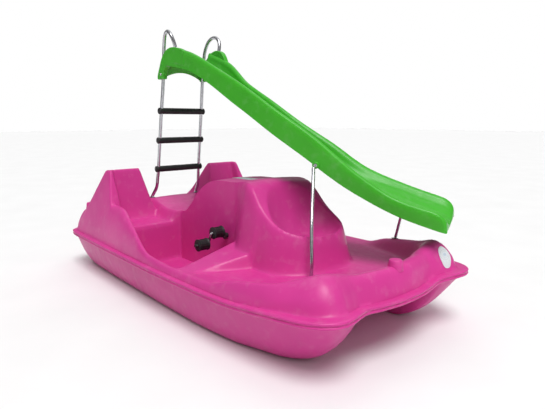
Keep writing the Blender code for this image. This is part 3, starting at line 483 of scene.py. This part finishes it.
def badge_print(name, centre, axes, half):
    """A pale printed plate with plain border rings, in the plate's own plane."""
    made, tree, shader, coords = start_material(name)
    shift = node_of(tree, "ShaderNodeVectorMath", operation="SUBTRACT")
    shift.inputs[1].default_value = centre
    tree.links.new(coords, shift.inputs[0])
    parts = []
    for axis, size in zip(axes, half):
        dot = node_of(tree, "ShaderNodeVectorMath", operation="DOT_PRODUCT")
        dot.inputs[1].default_value = tuple(axis / size)
        tree.links.new(shift.outputs[0], dot.inputs[0])
        square = node_of(tree, "ShaderNodeMath", operation="POWER")
        square.inputs[1].default_value = 2.0
        absolute = node_of(tree, "ShaderNodeMath", operation="ABSOLUTE")
        tree.links.new(dot.outputs["Value"], absolute.inputs[0])
        tree.links.new(absolute.outputs[0], square.inputs[0])
        parts.append(square.outputs[0])
    total = node_of(tree, "ShaderNodeMath", operation="ADD")
    tree.links.new(parts[0], total.inputs[0])
    tree.links.new(parts[1], total.inputs[1])
    root = node_of(tree, "ShaderNodeMath", operation="SQRT")
    tree.links.new(total.outputs[0], root.inputs[0])
    rings = node_of(tree, "ShaderNodeValToRGB")
    ramp_stops = rings.color_ramp
    ramp_stops.interpolation = "CONSTANT"
    ramp_stops.elements[0].color = (0.50, 0.58, 0.66, 1.0)
    ramp_stops.elements[1].position = 0.30
    ramp_stops.elements[1].color = (0.66, 0.70, 0.74, 1.0)
    for spot, tone in ((0.52, 0.55), (0.56, 0.72), (0.84, 0.50), (0.88, 0.74)):
        stop = ramp_stops.elements.new(spot)
        stop.color = (tone * 0.94, tone * 0.98, tone * 1.02, 1.0)
    tree.links.new(root.outputs[0], rings.inputs["Fac"])
    smear = spread(tree, noise(tree, coords, 60.0, 5.0), 0.0, 0.25)
    tint = blend_colour(tree, smear, rings.outputs["Color"], (0.62, 0.64, 0.66, 1.0))
    tree.links.new(tint, shader.inputs["Base Color"])
    tree.links.new(spread(tree, smear, 0.22, 0.40, 0.0, 0.25), shader.inputs["Roughness"])
    tree.links.new(bumped(tree, root.outputs[0], 0.06, 0.0004), shader.inputs["Normal"])
    return made


def foam_look(name):
    """Moulded foam: pale, dull and beaded."""
    made, tree, shader, coords = start_material(name)
    beads = node_of(tree, "ShaderNodeTexVoronoi")
    beads.inputs["Scale"].default_value = 260.0
    tree.links.new(coords, beads.inputs["Vector"])
    tint = blend_colour(tree, beads.outputs["Distance"], (0.84, 0.83, 0.78, 1), (0.70, 0.69, 0.63, 1))
    tree.links.new(tint, shader.inputs["Base Color"])
    shader.inputs["Roughness"].default_value = 0.9
    tree.links.new(bumped(tree, beads.outputs["Distance"], 0.5, 0.002), shader.inputs["Normal"])
    return made


PINK = (0.62, 0.042, 0.275, 1.0)
PINK_PALE = (0.66, 0.080, 0.33, 1.0)
GREEN = (0.050, 0.42, 0.020, 1.0)
GREEN_PALE = (0.085, 0.47, 0.04, 1.0)

LOOKS = {
    "pink": moulded("pink_polyethylene", PINK, PINK_PALE),
    "green": moulded("green_polyethylene", GREEN, GREEN_PALE, 0.08, (0.28, 0.40)),
    "tube": brushed("stainless_tube", (0.50, 0.50, 0.53, 1.0)),
    "steel": brushed("drive_steel", (0.52, 0.53, 0.55, 1.0), (0.2, 0.38), (1, 0.05, 1)),
    "black": black_part("black_plastic", (0.006, 0.006, 0.007, 1.0), (0.42, 0.62)),
    "grip": black_part("black_tread", (0.005, 0.005, 0.006, 1.0), (0.50, 0.72)),
    "foam": foam_look("buoyancy_foam"),
}


# ---------------------------------------------------------------- pieces

def finish_piece(made, look, body="boat", nodes=(), rounding=0.0, sharp=35.0):
    """Material, edges, body and the CAD nodes it stands for; look is a name in LOOKS or a material."""
    made.data.materials.append(LOOKS[look] if look in LOOKS else look)
    made.data.shade_smooth()
    made.data.set_sharp_from_angle(angle=math.radians(sharp))
    if rounding:
        edge = made.modifiers.new("edges", "BEVEL")
        edge.width = rounding
        edge.segments = 3
        edge.limit_method = "ANGLE"
        edge.angle_limit = math.radians(32)
        edge.harden_normals = True
    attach(made, body)
    for node in nodes:
        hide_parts(node)
    return made


def mesh_object(name, points, faces):
    mesh = bpy.data.meshes.new(name)
    mesh.from_pydata([tuple(map(float, p)) for p in points], [], faces)
    grid = bmesh.new()
    grid.from_mesh(mesh)
    bmesh.ops.recalc_face_normals(grid, faces=grid.faces)
    grid.to_mesh(mesh)
    grid.free()
    made = bpy.data.objects.new(name, mesh)
    bpy.context.scene.collection.objects.link(made)
    return made


def turned(name, outline, origin, direction, segments=48, flutes=0, depth=0.0, fluted=(0, 0)):
    """Revolve (radius, height) points; flutes cut a wave into the rings between the fluted indices."""
    axis = Vector(direction).normalized()
    place = Matrix.Translation(origin) @ axis.to_track_quat("Z", "Y").to_matrix().to_4x4()
    points, faces, rings = [], [], []
    for index, (radius, height) in enumerate(outline):
        ring = []
        for k in range(segments if radius > 1e-9 else 1):
            turn = 2 * math.pi * k / segments
            wave = depth * math.cos(flutes * turn) if fluted[0] <= index < fluted[1] else 0.0
            spot = Vector(((radius + wave) * math.cos(turn), (radius + wave) * math.sin(turn), height))
            ring.append(len(points))
            points.append(place @ spot)
        rings.append(ring)
    closed = len(rings[0]) > 1
    pairs = list(zip(rings, rings[1:] + rings[:1])) if closed else list(zip(rings, rings[1:]))
    for low, high in pairs:
        for k in range(segments):
            n = (k + 1) % segments
            if len(low) == 1:
                faces.append((low[0], high[n], high[k]))
            elif len(high) == 1:
                faces.append((low[k], low[n], high[0]))
            else:
                faces.append((low[k], low[n], high[n], high[k]))
    return mesh_object(name, points, faces)


def swept(name, path, radius, sides=24):
    """A round bar along a path, closed at both ends; the path carries no twist."""
    spots = [Vector(p) for p in path]
    points, faces, across = [], [], None
    for i, spot in enumerate(spots):
        ahead = (spots[min(i + 1, len(spots) - 1)] - spots[max(i - 1, 0)]).normalized()
        if across is None:
            across = ahead.orthogonal().normalized()
        across = (across - ahead * across.dot(ahead)).normalized()
        other = ahead.cross(across)
        for k in range(sides):
            t = 2 * math.pi * k / sides
            points.append(spot + (across * math.cos(t) + other * math.sin(t)) * radius)
    for i in range(len(spots) - 1):
        for k in range(sides):
            n = (k + 1) % sides
            a, b = i * sides, (i + 1) * sides
            faces.append((a + k, a + n, b + n, b + k))
    faces.append(tuple(range(sides))[::-1])
    faces.append(tuple(range(len(points) - sides, len(points))))
    return mesh_object(name, points, faces)


def slab(name, outline, thickness, place):
    """A flat plate: the outline drawn out along its own z."""
    count = len(outline)
    points = [place @ Vector((x, y, z)) for z in (0.0, thickness) for x, y in outline]
    faces = [tuple(range(count))[::-1], tuple(range(count, 2 * count))]
    for k in range(count):
        n = (k + 1) % count
        faces.append((k, n, n + count, k + count))
    return mesh_object(name, points, faces)


def rounded(outline, arc=6):
    """(radius, height) outline with every inner corner drawn as a small arc."""
    made = []
    count = len(outline)
    for i, spot in enumerate(outline):
        if spot[0] < 1e-9:
            made.append(spot)
            continue
        before, after = outline[i - 1], outline[(i + 1) % count]
        here, back, front = (np.array(p, dtype=float) for p in (spot, before, after))
        reach = min(np.linalg.norm(back - here), np.linalg.norm(front - here)) * 0.3
        reach = min(reach, 0.003)
        start = here + (back - here) / max(np.linalg.norm(back - here), 1e-9) * reach
        end = here + (front - here) / max(np.linalg.norm(front - here), 1e-9) * reach
        for k in range(arc + 1):
            t = k / arc
            made.append(tuple(start * (1 - t) ** 2 + here * 2 * t * (1 - t) + end * t * t))
    return made


# ---------------------------------------------------------------- shells

DECK_ALONG = [(-1.64, -1.612, 1), (-1.612, -1.10, 40), (-1.10, -0.82, 40), (-0.82, -0.60, 18),
              (-0.60, -0.53, 10), (-0.53, 0.20, 44), (0.20, 0.36, 16), (0.36, 0.54, 16),
              (0.54, 0.78, 28), (0.78, 1.12, 30), (1.12, 1.40, 24), (1.40, 1.522, 10),
              (1.522, 1.55, 1)]
DECK_ACROSS = [(0.0, 0.245, 16), (0.245, 0.296, 8), (0.296, 0.44, 12), (0.44, 0.72, 22),
               (0.72, 0.90, 24), (0.90, 0.962, 10), (0.962, 1.0, 1)]
HULL_ALONG = [(-1.64, -1.612, 1), (-1.612, -1.45, 12), (-1.45, -0.60, 36), (-0.60, -0.16, 20),
              (-0.16, 0.47, 44), (0.47, 1.10, 32), (1.10, 1.45, 34), (1.45, 1.522, 10),
              (1.522, 1.55, 1)]
HULL_ACROSS = [(0.0, 0.165, 6), (0.165, 0.202, 8), (0.202, 0.30, 10), (0.30, 0.52, 12),
               (0.52, 0.80, 18), (0.80, 0.962, 20), (0.962, 1.0, 1)]
# How far in from the outline and down from the rim each edge line of a flange runs.
DECK_EDGE = [(0.0090, 0.0005), (0.0050, 0.0022), (0.0018, 0.0058), (0.0004, 0.0105),
             (0.0018, 0.0150), (0.0046, 0.0178), (0.0090, 0.0188), (0.0220, 0.0190)]
HULL_EDGE = [(0.0090, 0.0398), (0.0052, 0.0388), (0.0022, 0.0362), (0.0008, 0.0318),
             (0.0022, 0.0274), (0.0052, 0.0246), (0.0090, 0.0236), (0.0220, 0.0234)]


def shell(name, along, across, height, edge):
    """A moulding's outer skin over the outline, with its flange edge rolled over."""
    x, y = outline_grid(along, across)
    rows, columns = x.shape
    z = height(x, y)
    index = np.arange(rows * columns).reshape(rows, columns)
    border = np.concatenate([index[:, 0], index[-1, 1:], index[-2::-1, -1], index[0, -2:0:-1]])
    flat = np.stack([x, y, z], axis=-1).reshape(-1, 3)
    line = flat[border, :2].copy()
    ahead = np.roll(line, -1, axis=0) - np.roll(line, 1, axis=0)
    ahead /= np.linalg.norm(ahead, axis=1)[:, None]
    inward = np.stack([-ahead[:, 1], ahead[:, 0]], axis=1)
    flat[border, :2] += inward * 0.014
    points = [flat]
    faces = []
    for i in range(rows - 1):
        for j in range(columns - 1):
            a = i * columns + j
            faces.append((a, a + columns, a + columns + 1, a + 1))
    count = len(border)
    rims = rim_height(line[:, 0], np.abs(line[:, 1]))
    before = list(border)
    for step, (depth, drop) in enumerate(edge):
        spots = line + inward * depth
        points.append(np.column_stack([spots, rims - drop]))
        here = [rows * columns + step * count + k for k in range(count)]
        for k in range(count):
            n = (k + 1) % count
            faces.append((before[k], before[n], here[n], here[k]))
        before = here
    return mesh_object(name, np.concatenate(points), faces)


def surface_finder(target):
    """A function that gives the target's top surface and its normal at a place in plan."""
    spots = [vertex.co.copy() for vertex in target.data.vertices]
    tree = BVHTree.FromPolygons(spots, [tuple(face.vertices) for face in target.data.polygons])

    def look(x, y):
        spot, normal = tree.ray_cast(Vector((x, y, 3.0)), -UP)[:2]
        return spot, normal
    return look


deck = shell("deck_skin", along_share(DECK_ALONG), mirrored(stations(DECK_ACROSS)), deck_height,
             DECK_EDGE)
hull = shell("hull_skin", along_share(HULL_ALONG), mirrored(stations(HULL_ACROSS)), hull_height,
             HULL_EDGE)
look_down = surface_finder(deck)
finish_piece(deck, "pink", nodes=["deck_shell"], sharp=55)
finish_piece(hull, "pink", nodes=["hull_shell"], sharp=55)


# ---------------------------------------------------------------- fittings on the deck

def dome(name, x, y, radius, height, nodes):
    """An upright cap with a rounded top."""
    spot = look_down(x, y)[0]
    outline = [(0, -0.03), (radius * 1.10, -0.03), (radius * 1.06, 0.0), (radius, 0.010),
               (radius * 0.93, height * 0.75), (radius * 0.82, height), (0, height * 1.04)]
    made = turned(name, rounded(outline), spot, UP, 56)
    finish_piece(made, "pink", nodes=nodes)


dome("bow_cap_skin", 1.55, 0.0, 0.044, 0.036, ["bow_cap"])
for side, name in ((-1, "starboard"), (1, "port")):
    dome("stern_cap_skin_" + name, -1.44, side * 0.71, 0.037, 0.045, ["stern_cap_" + name])


def conformal_badge(name, centre, half, lift, node):
    """A thin plate that follows the moulding under it."""
    points, faces = [], []
    rings, turns = 12, 64
    for level in (lift, lift + 0.0016):
        for r in range(rings + 1):
            for k in range(turns):
                t = 2 * math.pi * k / turns
                share = r / rings
                x = centre[0] + half[0] * share * math.cos(t)
                y = centre[1] + half[1] * share * math.sin(t)
                spot, normal = look_down(x, y)
                soft = 0.0006 if r == rings else 0.0
                points.append(spot + normal * (level - soft))
    layer = (rings + 1) * turns
    for level in range(2):
        for r in range(rings):
            for k in range(turns):
                n = (k + 1) % turns
                a, b = level * layer + r * turns, level * layer + (r + 1) * turns
                faces.append((a + k, a + n, b + n, b + k))
    outer = rings * turns
    for k in range(turns):
        n = (k + 1) % turns
        faces.append((outer + k, outer + n, outer + n + layer, outer + k + layer))
    spot, normal = look_down(centre[0], centre[1])
    ahead = Vector((1, 0, 0))
    ahead = (ahead - normal * ahead.dot(normal)).normalized()
    look = badge_print(name + "_print", tuple(spot), (ahead, normal.cross(ahead)), half)
    made = finish_piece(mesh_object(name, points, faces), look, nodes=[node])


conformal_badge("console_badge_plate", (0.16, -0.03), (0.20, 0.048), 0.0012, "console_badge")
conformal_badge("bow_badge_plate", (1.578, 0.535), (0.040, 0.050), 0.0012, "bow_badge")


# ---------------------------------------------------------------- chute

def section_line(wall, lift, melt, count=64):
    """Half of the chute's outer skin, from the side wall's foot over the crest to the middle."""
    half = SLIDE_HALF
    deep = -wall + lift
    points = [(-half, -wall), (-half, -wall * 0.55), (-half, -0.052), (-half + 0.002, -0.030),
              (-half + 0.009, -0.009), (-half + 0.024, 0.0), (-half + 0.042, -0.004),
              (-half + 0.054 + 0.006 * melt, -0.020),
              (-half + 0.062 + 0.030 * melt, mix(-0.020, deep, 0.45)),
              (-half + 0.075 + 0.055 * melt, deep + 0.018),
              (-half + 0.098 + 0.062 * melt, deep + 0.003),
              (-half + 0.150 + 0.040 * melt, deep - 0.002), (0.0, deep - 0.004)]
    return smooth_path(points, count)


def offset_line(line, thickness):
    """The line moved to its right by the wall's thickness."""
    ahead = np.gradient(line, axis=0)
    ahead /= np.linalg.norm(ahead, axis=1)[:, None]
    return line + np.stack([ahead[:, 1], -ahead[:, 0]], axis=1) * thickness


def make_chute():
    """The trough, drawn out past its last frame into a rounded nose."""
    frames = chute_frames(150)[:-4]
    rings = []
    last = frames[-1]
    forward = Vector((last[1].y, -last[1].x, 0.0)).normalized() + Vector((0, 0, -0.26))
    nose = [(0.105 * math.sin(t), max(math.cos(t), 0.0) ** 0.55)
            for t in np.linspace(0.10, math.pi / 2, 14)]
    sections = [(frame_at, 0.0, 1.0) for frame_at in frames]
    sections += [(last, ahead, keep) for ahead, keep in nose]
    for index, ((centre, side, up, wall), ahead, keep) in enumerate(sections):
        left = section_line(wall, 0.035, min(1.0, max(0.0, index / 60.0 - 1.0)))
        outer = np.concatenate([left, left[-2::-1] * (-1, 1)])
        inner_left = offset_line(left, SLIDE_SKIN)
        inner_left[-1, 0] = 0.0
        inner = np.concatenate([inner_left, inner_left[-2::-1] * (-1, 1)])
        ring = np.concatenate([outer, inner[::-1]])
        ring[:, 1] = -wall + (ring[:, 1] + wall) * (0.06 + 0.94 * keep)
        ring[:, 0] *= 1.0 - 0.16 * (1.0 - keep) ** 1.4
        rings.append([centre + forward * ahead + side * float(a) + up * float(b) for a, b in ring])
    count = len(rings[0])
    points = [spot for ring in rings for spot in ring]
    faces = []
    for i in range(len(rings) - 1):
        for k in range(count):
            n = (k + 1) % count
            a, b = i * count, (i + 1) * count
            faces.append((a + k, a + n, b + n, b + k))
    half = count // 2
    for base, flip in ((0, False), ((len(rings) - 1) * count, True)):
        for k in range(half - 1):
            quad = (base + k, base + count - 1 - k, base + count - 2 - k, base + k + 1)
            faces.append(quad[::-1] if flip else quad)
    finish_piece(mesh_object("chute_skin", points, faces), "green", nodes=["slide_chute"], sharp=50)


PORT_TOP = [(-0.868, 1.768), (-0.866, 1.785), (-0.850, 1.820), (-0.828, 1.858), (-0.800, 1.900),
            (-0.744, 1.953), (-0.700, 1.985), (-0.661, 2.006), (-0.628, 2.016), (-0.598, 2.020),
            (-0.560, 2.017), (-0.527, 2.008), (-0.498, 1.992), (-0.474, 1.966), (-0.450, 1.925),
            (-0.430, 1.880)]
CHEEK_TOP = [(-0.868, 1.768), (-0.866, 1.785), (-0.850, 1.820), (-0.828, 1.858), (-0.806, 1.898),
             (-0.783, 1.932), (-0.755, 1.962), (-0.723, 1.984), (-0.686, 2.001), (-0.642, 2.010),
             (-0.590, 2.010), (-0.530, 2.000), (-0.470, 1.985), (-0.410, 1.962)]
CHEEK_FOOT = [(-0.410, 1.840), (-0.470, 1.852), (-0.530, 1.867), (-0.593, 1.876), (-0.650, 1.874),
              (-0.690, 1.865), (-0.722, 1.850), (-0.742, 1.828), (-0.755, 1.795), (-0.762, 1.757),
              (-0.860, 1.757)]


def make_cheeks():
    """The two arched legs of the slide's top end and the hood that joins them."""
    for side, name, top in ((-1, "starboard", CHEEK_TOP), (1, "port", PORT_TOP)):
        fine = smooth_path(top, 60).tolist() + smooth_path(CHEEK_FOOT[:-1], 30).tolist()
        fine.append(CHEEK_FOOT[-1])
        y = side * (SLIDE_HALF + 0.001) - (0.0 if side < 0 else CHEEK_WIDTH)
        place = Matrix.Translation((0, y + CHEEK_WIDTH, 0)) @ Matrix.Rotation(math.pi / 2, 4, "X")
        made = slab("cheek_" + name, fine, CHEEK_WIDTH, place)
        finish_piece(made, "green", rounding=0.011, sharp=40)
    rows, columns = 26, 25
    curve = smooth_path([(-0.858, 1.757), (-0.851, 1.800), (-0.832, 1.850), (-0.806, 1.884),
                         (-0.770, 1.897), (-0.720, 1.899), (-0.672, 1.893)], rows)
    points, faces = [], []
    for lift in (0.0, -0.009):
        for j in range(columns):
            y = mix(-HOOD_HALF, HOOD_HALF, j / (columns - 1))
            arch = 1.757 + 0.075 * (1.0 - (abs(y) / HOOD_HALF) ** 2.0)
            for i in range(rows):
                x, z = curve[i]
                points.append((x - lift, y, max(z, arch) + lift * 0.5))
    layer = rows * columns
    for level in range(2):
        for j in range(columns - 1):
            for i in range(rows - 1):
                a = level * layer + j * rows + i
                faces.append((a, a + rows, a + rows + 1, a + 1))
    finish_piece(mesh_object("chute_hood", points, faces), "green", sharp=60)


make_chute()
make_cheeks()


# ---------------------------------------------------------------- tubes, rungs and struts

def domed_bolt(name, spot, direction, radius, height):
    """Washer, domed head and its recess."""
    washer = [(0, 0), (radius * 1.5, 0), (radius * 1.5, 0.0015), (radius, 0.0017),
              (radius * 0.97, height * 0.55), (radius * 0.75, height * 0.9),
              (radius * 0.42, height), (radius * 0.38, height * 0.55), (0, height * 0.5)]
    return finish_piece(turned(name, rounded(washer, 3), spot, direction, 36), "tube")


def screw_ring(name, count, base, normal, reach, lift, radius, height):
    """Bolt heads spaced round a foot plate."""
    for k in range(count):
        t = 2 * math.pi * (k + 0.5) / count
        around = normal.orthogonal().normalized()
        around = around * math.cos(t) + normal.cross(around) * math.sin(t)
        domed_bolt("%s_%d" % (name, k + 1), base + around * reach + normal * lift, normal, radius, height)


def make_rail(side, name):
    """One ladder rail with its foot flange, screws and the bolt through the slide's arched leg."""
    spot, normal = look_down(-1.065, side * 0.250)
    foot = spot + normal * 0.004
    path = smooth_path(rail_path(side, tuple(foot)), 160)
    rail = swept("rail_" + name, path, RAIL_RADIUS, 28)
    finish_piece(rail, "tube", nodes=["ladder_rail_" + name])
    flange = [(0, 0.0), (0.034, 0.0), (0.034, 0.003), (0.0225, 0.0045), (0.0165, 0.009),
              (0.0165, 0.014), (0, 0.014)]
    made = turned("rail_foot_" + name, rounded(flange, 3), spot, normal, 40)
    finish_piece(made, "tube", nodes=["ladder_foot_" + name])
    screw_ring("rail_screw_" + name, 3, spot, normal, 0.027, 0.003, 0.0038, 0.0030)
    made = domed_bolt("cheek_bolt_" + name, (-0.800, side * (SLIDE_HALF + 0.0015), 1.800),
                      (0, side, 0), 0.0085, 0.009)
    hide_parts("chute_bolt_" + name)


def make_rung(number, x, z, half):
    """One ribbed rung with a smooth collar and a bolt at each end."""
    collar = [(RUNG_EDGE - 0.0035, half), (RUNG_EDGE, half - 0.003), (RUNG_EDGE, half - 0.022),
              (RUNG_EDGE - 0.0015, half - 0.025)]
    outline = [(0, -half)] + [(radius, -at) for radius, at in collar]
    low = len(outline)
    ribs = 56
    for rib in range(ribs):
        at = mix(-half + 0.030, half - 0.030, rib / (ribs - 1))
        outline += [(RUNG_EDGE - 0.0013 - 0.0007 * (rib % 2), at)]
    high = len(outline)
    outline += collar[::-1] + [(0, half)]
    made = turned("rung_%d" % number, outline, (x, 0, z), (0, 1, 0), 80, 20, 0.0007, (low, high))
    finish_piece(made, "grip", nodes=["ladder_rung_%d" % number], sharp=60)
    for side, name in ((-1, "starboard"), (1, "port")):
        path = rail_path(side, (-1.07, side * 0.25, 0.66))
        near = min(path, key=lambda spot: abs(spot[2] - z))
        domed_bolt("rung_bolt_%d_%s" % (number, name), (x - RUNG_EDGE + 0.0004, float(near[1]), z),
                   (-1, 0, 0), 0.0055, 0.004)


def make_strut(name, path, count):
    strut = swept("strut_" + name, smooth_path([tuple(spot) for spot in path], count), STRUT_RADIUS)
    finish_piece(strut, "tube", nodes=["slide_strut_" + name])


def make_struts():
    """The chute's two struts, their foot plates and screws, and the boss that one is bolted to."""
    boss = [(0, -0.030), (0.020, -0.030), (0.024, -0.026), (0.026, -0.004), (0.022, 0.004), (0, 0.005)]
    finish_piece(turned("strut_boss", rounded(boss), STRUT_BOSS_AT, STRUT_BOSS_AXIS, 48), "green")
    domed_bolt("strut_bolt", Vector(STRUT_BOSS_AT) + STRUT_BOSS_AXIS * 0.0045, STRUT_BOSS_AXIS,
               0.0085, 0.008)
    spot, normal = look_down(1.074, -0.238)
    near = [spot + normal * 0.004, spot + Vector((-0.002, 0.006, 0.09)),
            spot + Vector((-0.030, 0.030, 0.22)), STRUT_TOP_STARBOARD]
    make_strut("starboard", near, 70)
    spot_port, normal_port = look_down(1.025, 0.775)
    far = [spot_port + normal_port * 0.003, spot_port + Vector((0.021, 0.0, 0.09)), STRUT_TOP_PORT]
    make_strut("port", far, 50)
    plate = [(0, 0.0006), (0.031, 0.0006), (0.031, 0.0030), (0.0165, 0.0042), (0.0125, 0.0080),
             (0, 0.0080)]
    for name, foot, up in (("starboard", spot, normal), ("port", spot_port, normal_port)):
        made = turned("strut_foot_" + name, rounded(plate, 3), foot, up, 44)
        finish_piece(made, "tube", nodes=["strut_plate_" + name])
        screw_ring("strut_screw_" + name, 4, foot, up, 0.0235, 0.0028, 0.0032, 0.0028)


for side, name in ((-1, "starboard"), (1, "port")):
    make_rail(side, name)
for number, (x, z, half) in enumerate(RUNGS, 1):
    make_rung(number, x, z, half)
make_struts()


# ---------------------------------------------------------------- pedals

def make_roller(node):
    """A pedal roller of the CAD's size: collars at both ends and a ribbed, waisted tread."""
    bore = 0.0098
    low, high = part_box(node)
    centre = [(a + b) / 2 for a, b in zip(low, high)]
    half = (high[1] - low[1]) / 2
    radius = (high[2] - low[2]) / 2
    collar = [(bore, half), (radius - 0.004, half), (radius, half - 0.003), (radius, half - 0.009),
              (radius - 0.002, half - 0.012)]
    outline = [(reach, -at) for reach, at in collar]
    start = len(outline)
    waist = radius - 0.0055
    for k in range(15):
        at = mix(-half + 0.016, half - 0.016, k / 14)
        outline.append((waist + 0.0012 * (k % 2), at))
    stop = len(outline)
    outline += collar[::-1]
    made = turned(node + "_roller", outline, centre, (0, 1, 0), 96, 16, 0.0010, (start, stop))
    finish_piece(made, "black", body=node, nodes=[node], sharp=40)


for name in ("starboard", "port"):
    for place in ("inner", "outer"):
        make_roller("pedal_%s_%s" % (name, place))


# ---------------------------------------------------------------- finishes of the CAD nodes kept

KEPT = {"rim_joint_strip": "pink", "crankshaft": "steel", "paddle_hub": "steel",
        "steering_stem": "steel", "steering_arm": "steel", "steering_rod": "steel",
        "rudder_stock": "steel", "rudder_tiller": "steel", "rudder_blade": "black",
        "steering_knob": "black", "lever_bush": "black", "rudder_bush": "black",
        "crank_bush_port": "black", "crank_bush_starboard": "black", "pedal_cap_port": "black",
        "pedal_cap_starboard": "black", "drain_plug_port": "black", "drain_plug_starboard": "black",
        "foam_block_port": "foam", "foam_block_starboard": "foam"}
for number in range(1, BLADES + 1):
    KEPT["paddle_blade_%d" % number] = "black"
for node, look in KEPT.items():
    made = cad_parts[node]
    for slot_of in made.material_slots:
        slot_of.material = LOOKS[look]


# ---------------------------------------------------------------- floor, light and camera

def soft_light(name, spot, target, size, power):
    data = bpy.data.lights.new(name, "AREA")
    data.shape = "RECTANGLE"
    data.size, data.size_y = size
    data.energy = power
    made = bpy.data.objects.new(name, data)
    made.location = spot
    made.rotation_euler = (Vector(target) - Vector(spot)).to_track_quat("-Z", "Y").to_euler()
    bpy.context.scene.collection.objects.link(made)


def broad_sun(name, toward, power, width):
    """Even light from one side of the sky, so the floor doesn't fall off with distance."""
    data = bpy.data.lights.new(name, "SUN")
    data.energy = power
    data.angle = math.radians(width)
    made = bpy.data.objects.new(name, data)
    made.rotation_euler = Vector(toward).to_track_quat("Z", "Y").to_euler()
    bpy.context.scene.collection.objects.link(made)


def make_floor():
    mesh = bpy.data.meshes.new("studio_floor")
    size = FLOOR_HALF
    mesh.from_pydata([(-size, -size, 0), (size, -size, 0), (size, size, 0), (-size, size, 0)], [],
                     [(0, 1, 2, 3)])
    floor = bpy.data.objects.new("studio_floor", mesh)
    floor.location.z = cad_box[0][2] - 0.0005
    bpy.context.scene.collection.objects.link(floor)
    made, tree, shader, coords = start_material("pale_floor")
    patchy = spread(tree, noise(tree, coords, 1.5, 4.0), 0.0, 1.0)
    tint = blend_colour(tree, patchy, (0.83, 0.83, 0.83, 1), (0.86, 0.86, 0.86, 1))
    tree.links.new(tint, shader.inputs["Base Color"])
    shader.inputs["Roughness"].default_value = 0.75
    floor.data.materials.append(made)


def make_sky():
    """A white backdrop whose light falls off towards the horizon."""
    world = bpy.data.worlds.new("studio")
    world.use_nodes = True
    tree = world.node_tree
    backdrop = tree.nodes["Background"]
    backdrop.inputs["Color"].default_value = (1.0, 1.0, 1.0, 1.0)
    sky = node_of(tree, "ShaderNodeTexCoord")
    parts = node_of(tree, "ShaderNodeSeparateXYZ")
    tree.links.new(sky.outputs["Generated"], parts.inputs[0])
    grade = spread(tree, parts.outputs["Z"], 0.10, 0.66, 0.0, 1.0)
    seen = node_of(tree, "ShaderNodeLightPath")
    strength = node_of(tree, "ShaderNodeMapRange")
    strength.inputs["To Max"].default_value = 1.0
    tree.links.new(grade, strength.inputs["To Min"])
    tree.links.new(seen.outputs["Is Camera Ray"], strength.inputs["Value"])
    tree.links.new(strength.outputs["Result"], backdrop.inputs["Strength"])
    bpy.context.scene.world = world
    bpy.context.scene.view_settings.view_transform = "Standard"


def make_camera():
    data = bpy.data.cameras.new("photo_camera")
    data.sensor_width = 36.0
    data.lens = CAMERA_LENS
    data.clip_end = 200.0
    camera = bpy.data.objects.new("photo_camera", data)
    camera.location = CAMERA_AT
    camera.rotation_euler = (math.radians(90 - CAMERA_DOWN), 0.0, math.radians(CAMERA_TURN))
    bpy.context.scene.collection.objects.link(camera)
    bpy.context.scene.camera = camera


make_floor()
broad_sun("key_light", (0.42, -0.22, 1.0), 2.25, 30)
broad_sun("rim_light", (-0.5, 0.6, 1.0), 0.30, 50)
soft_light("fill_light", (5.5, -1.0, 2.5), (0, 0, 0.6), (2.5, 2.5), 16)
make_sky()
make_camera()
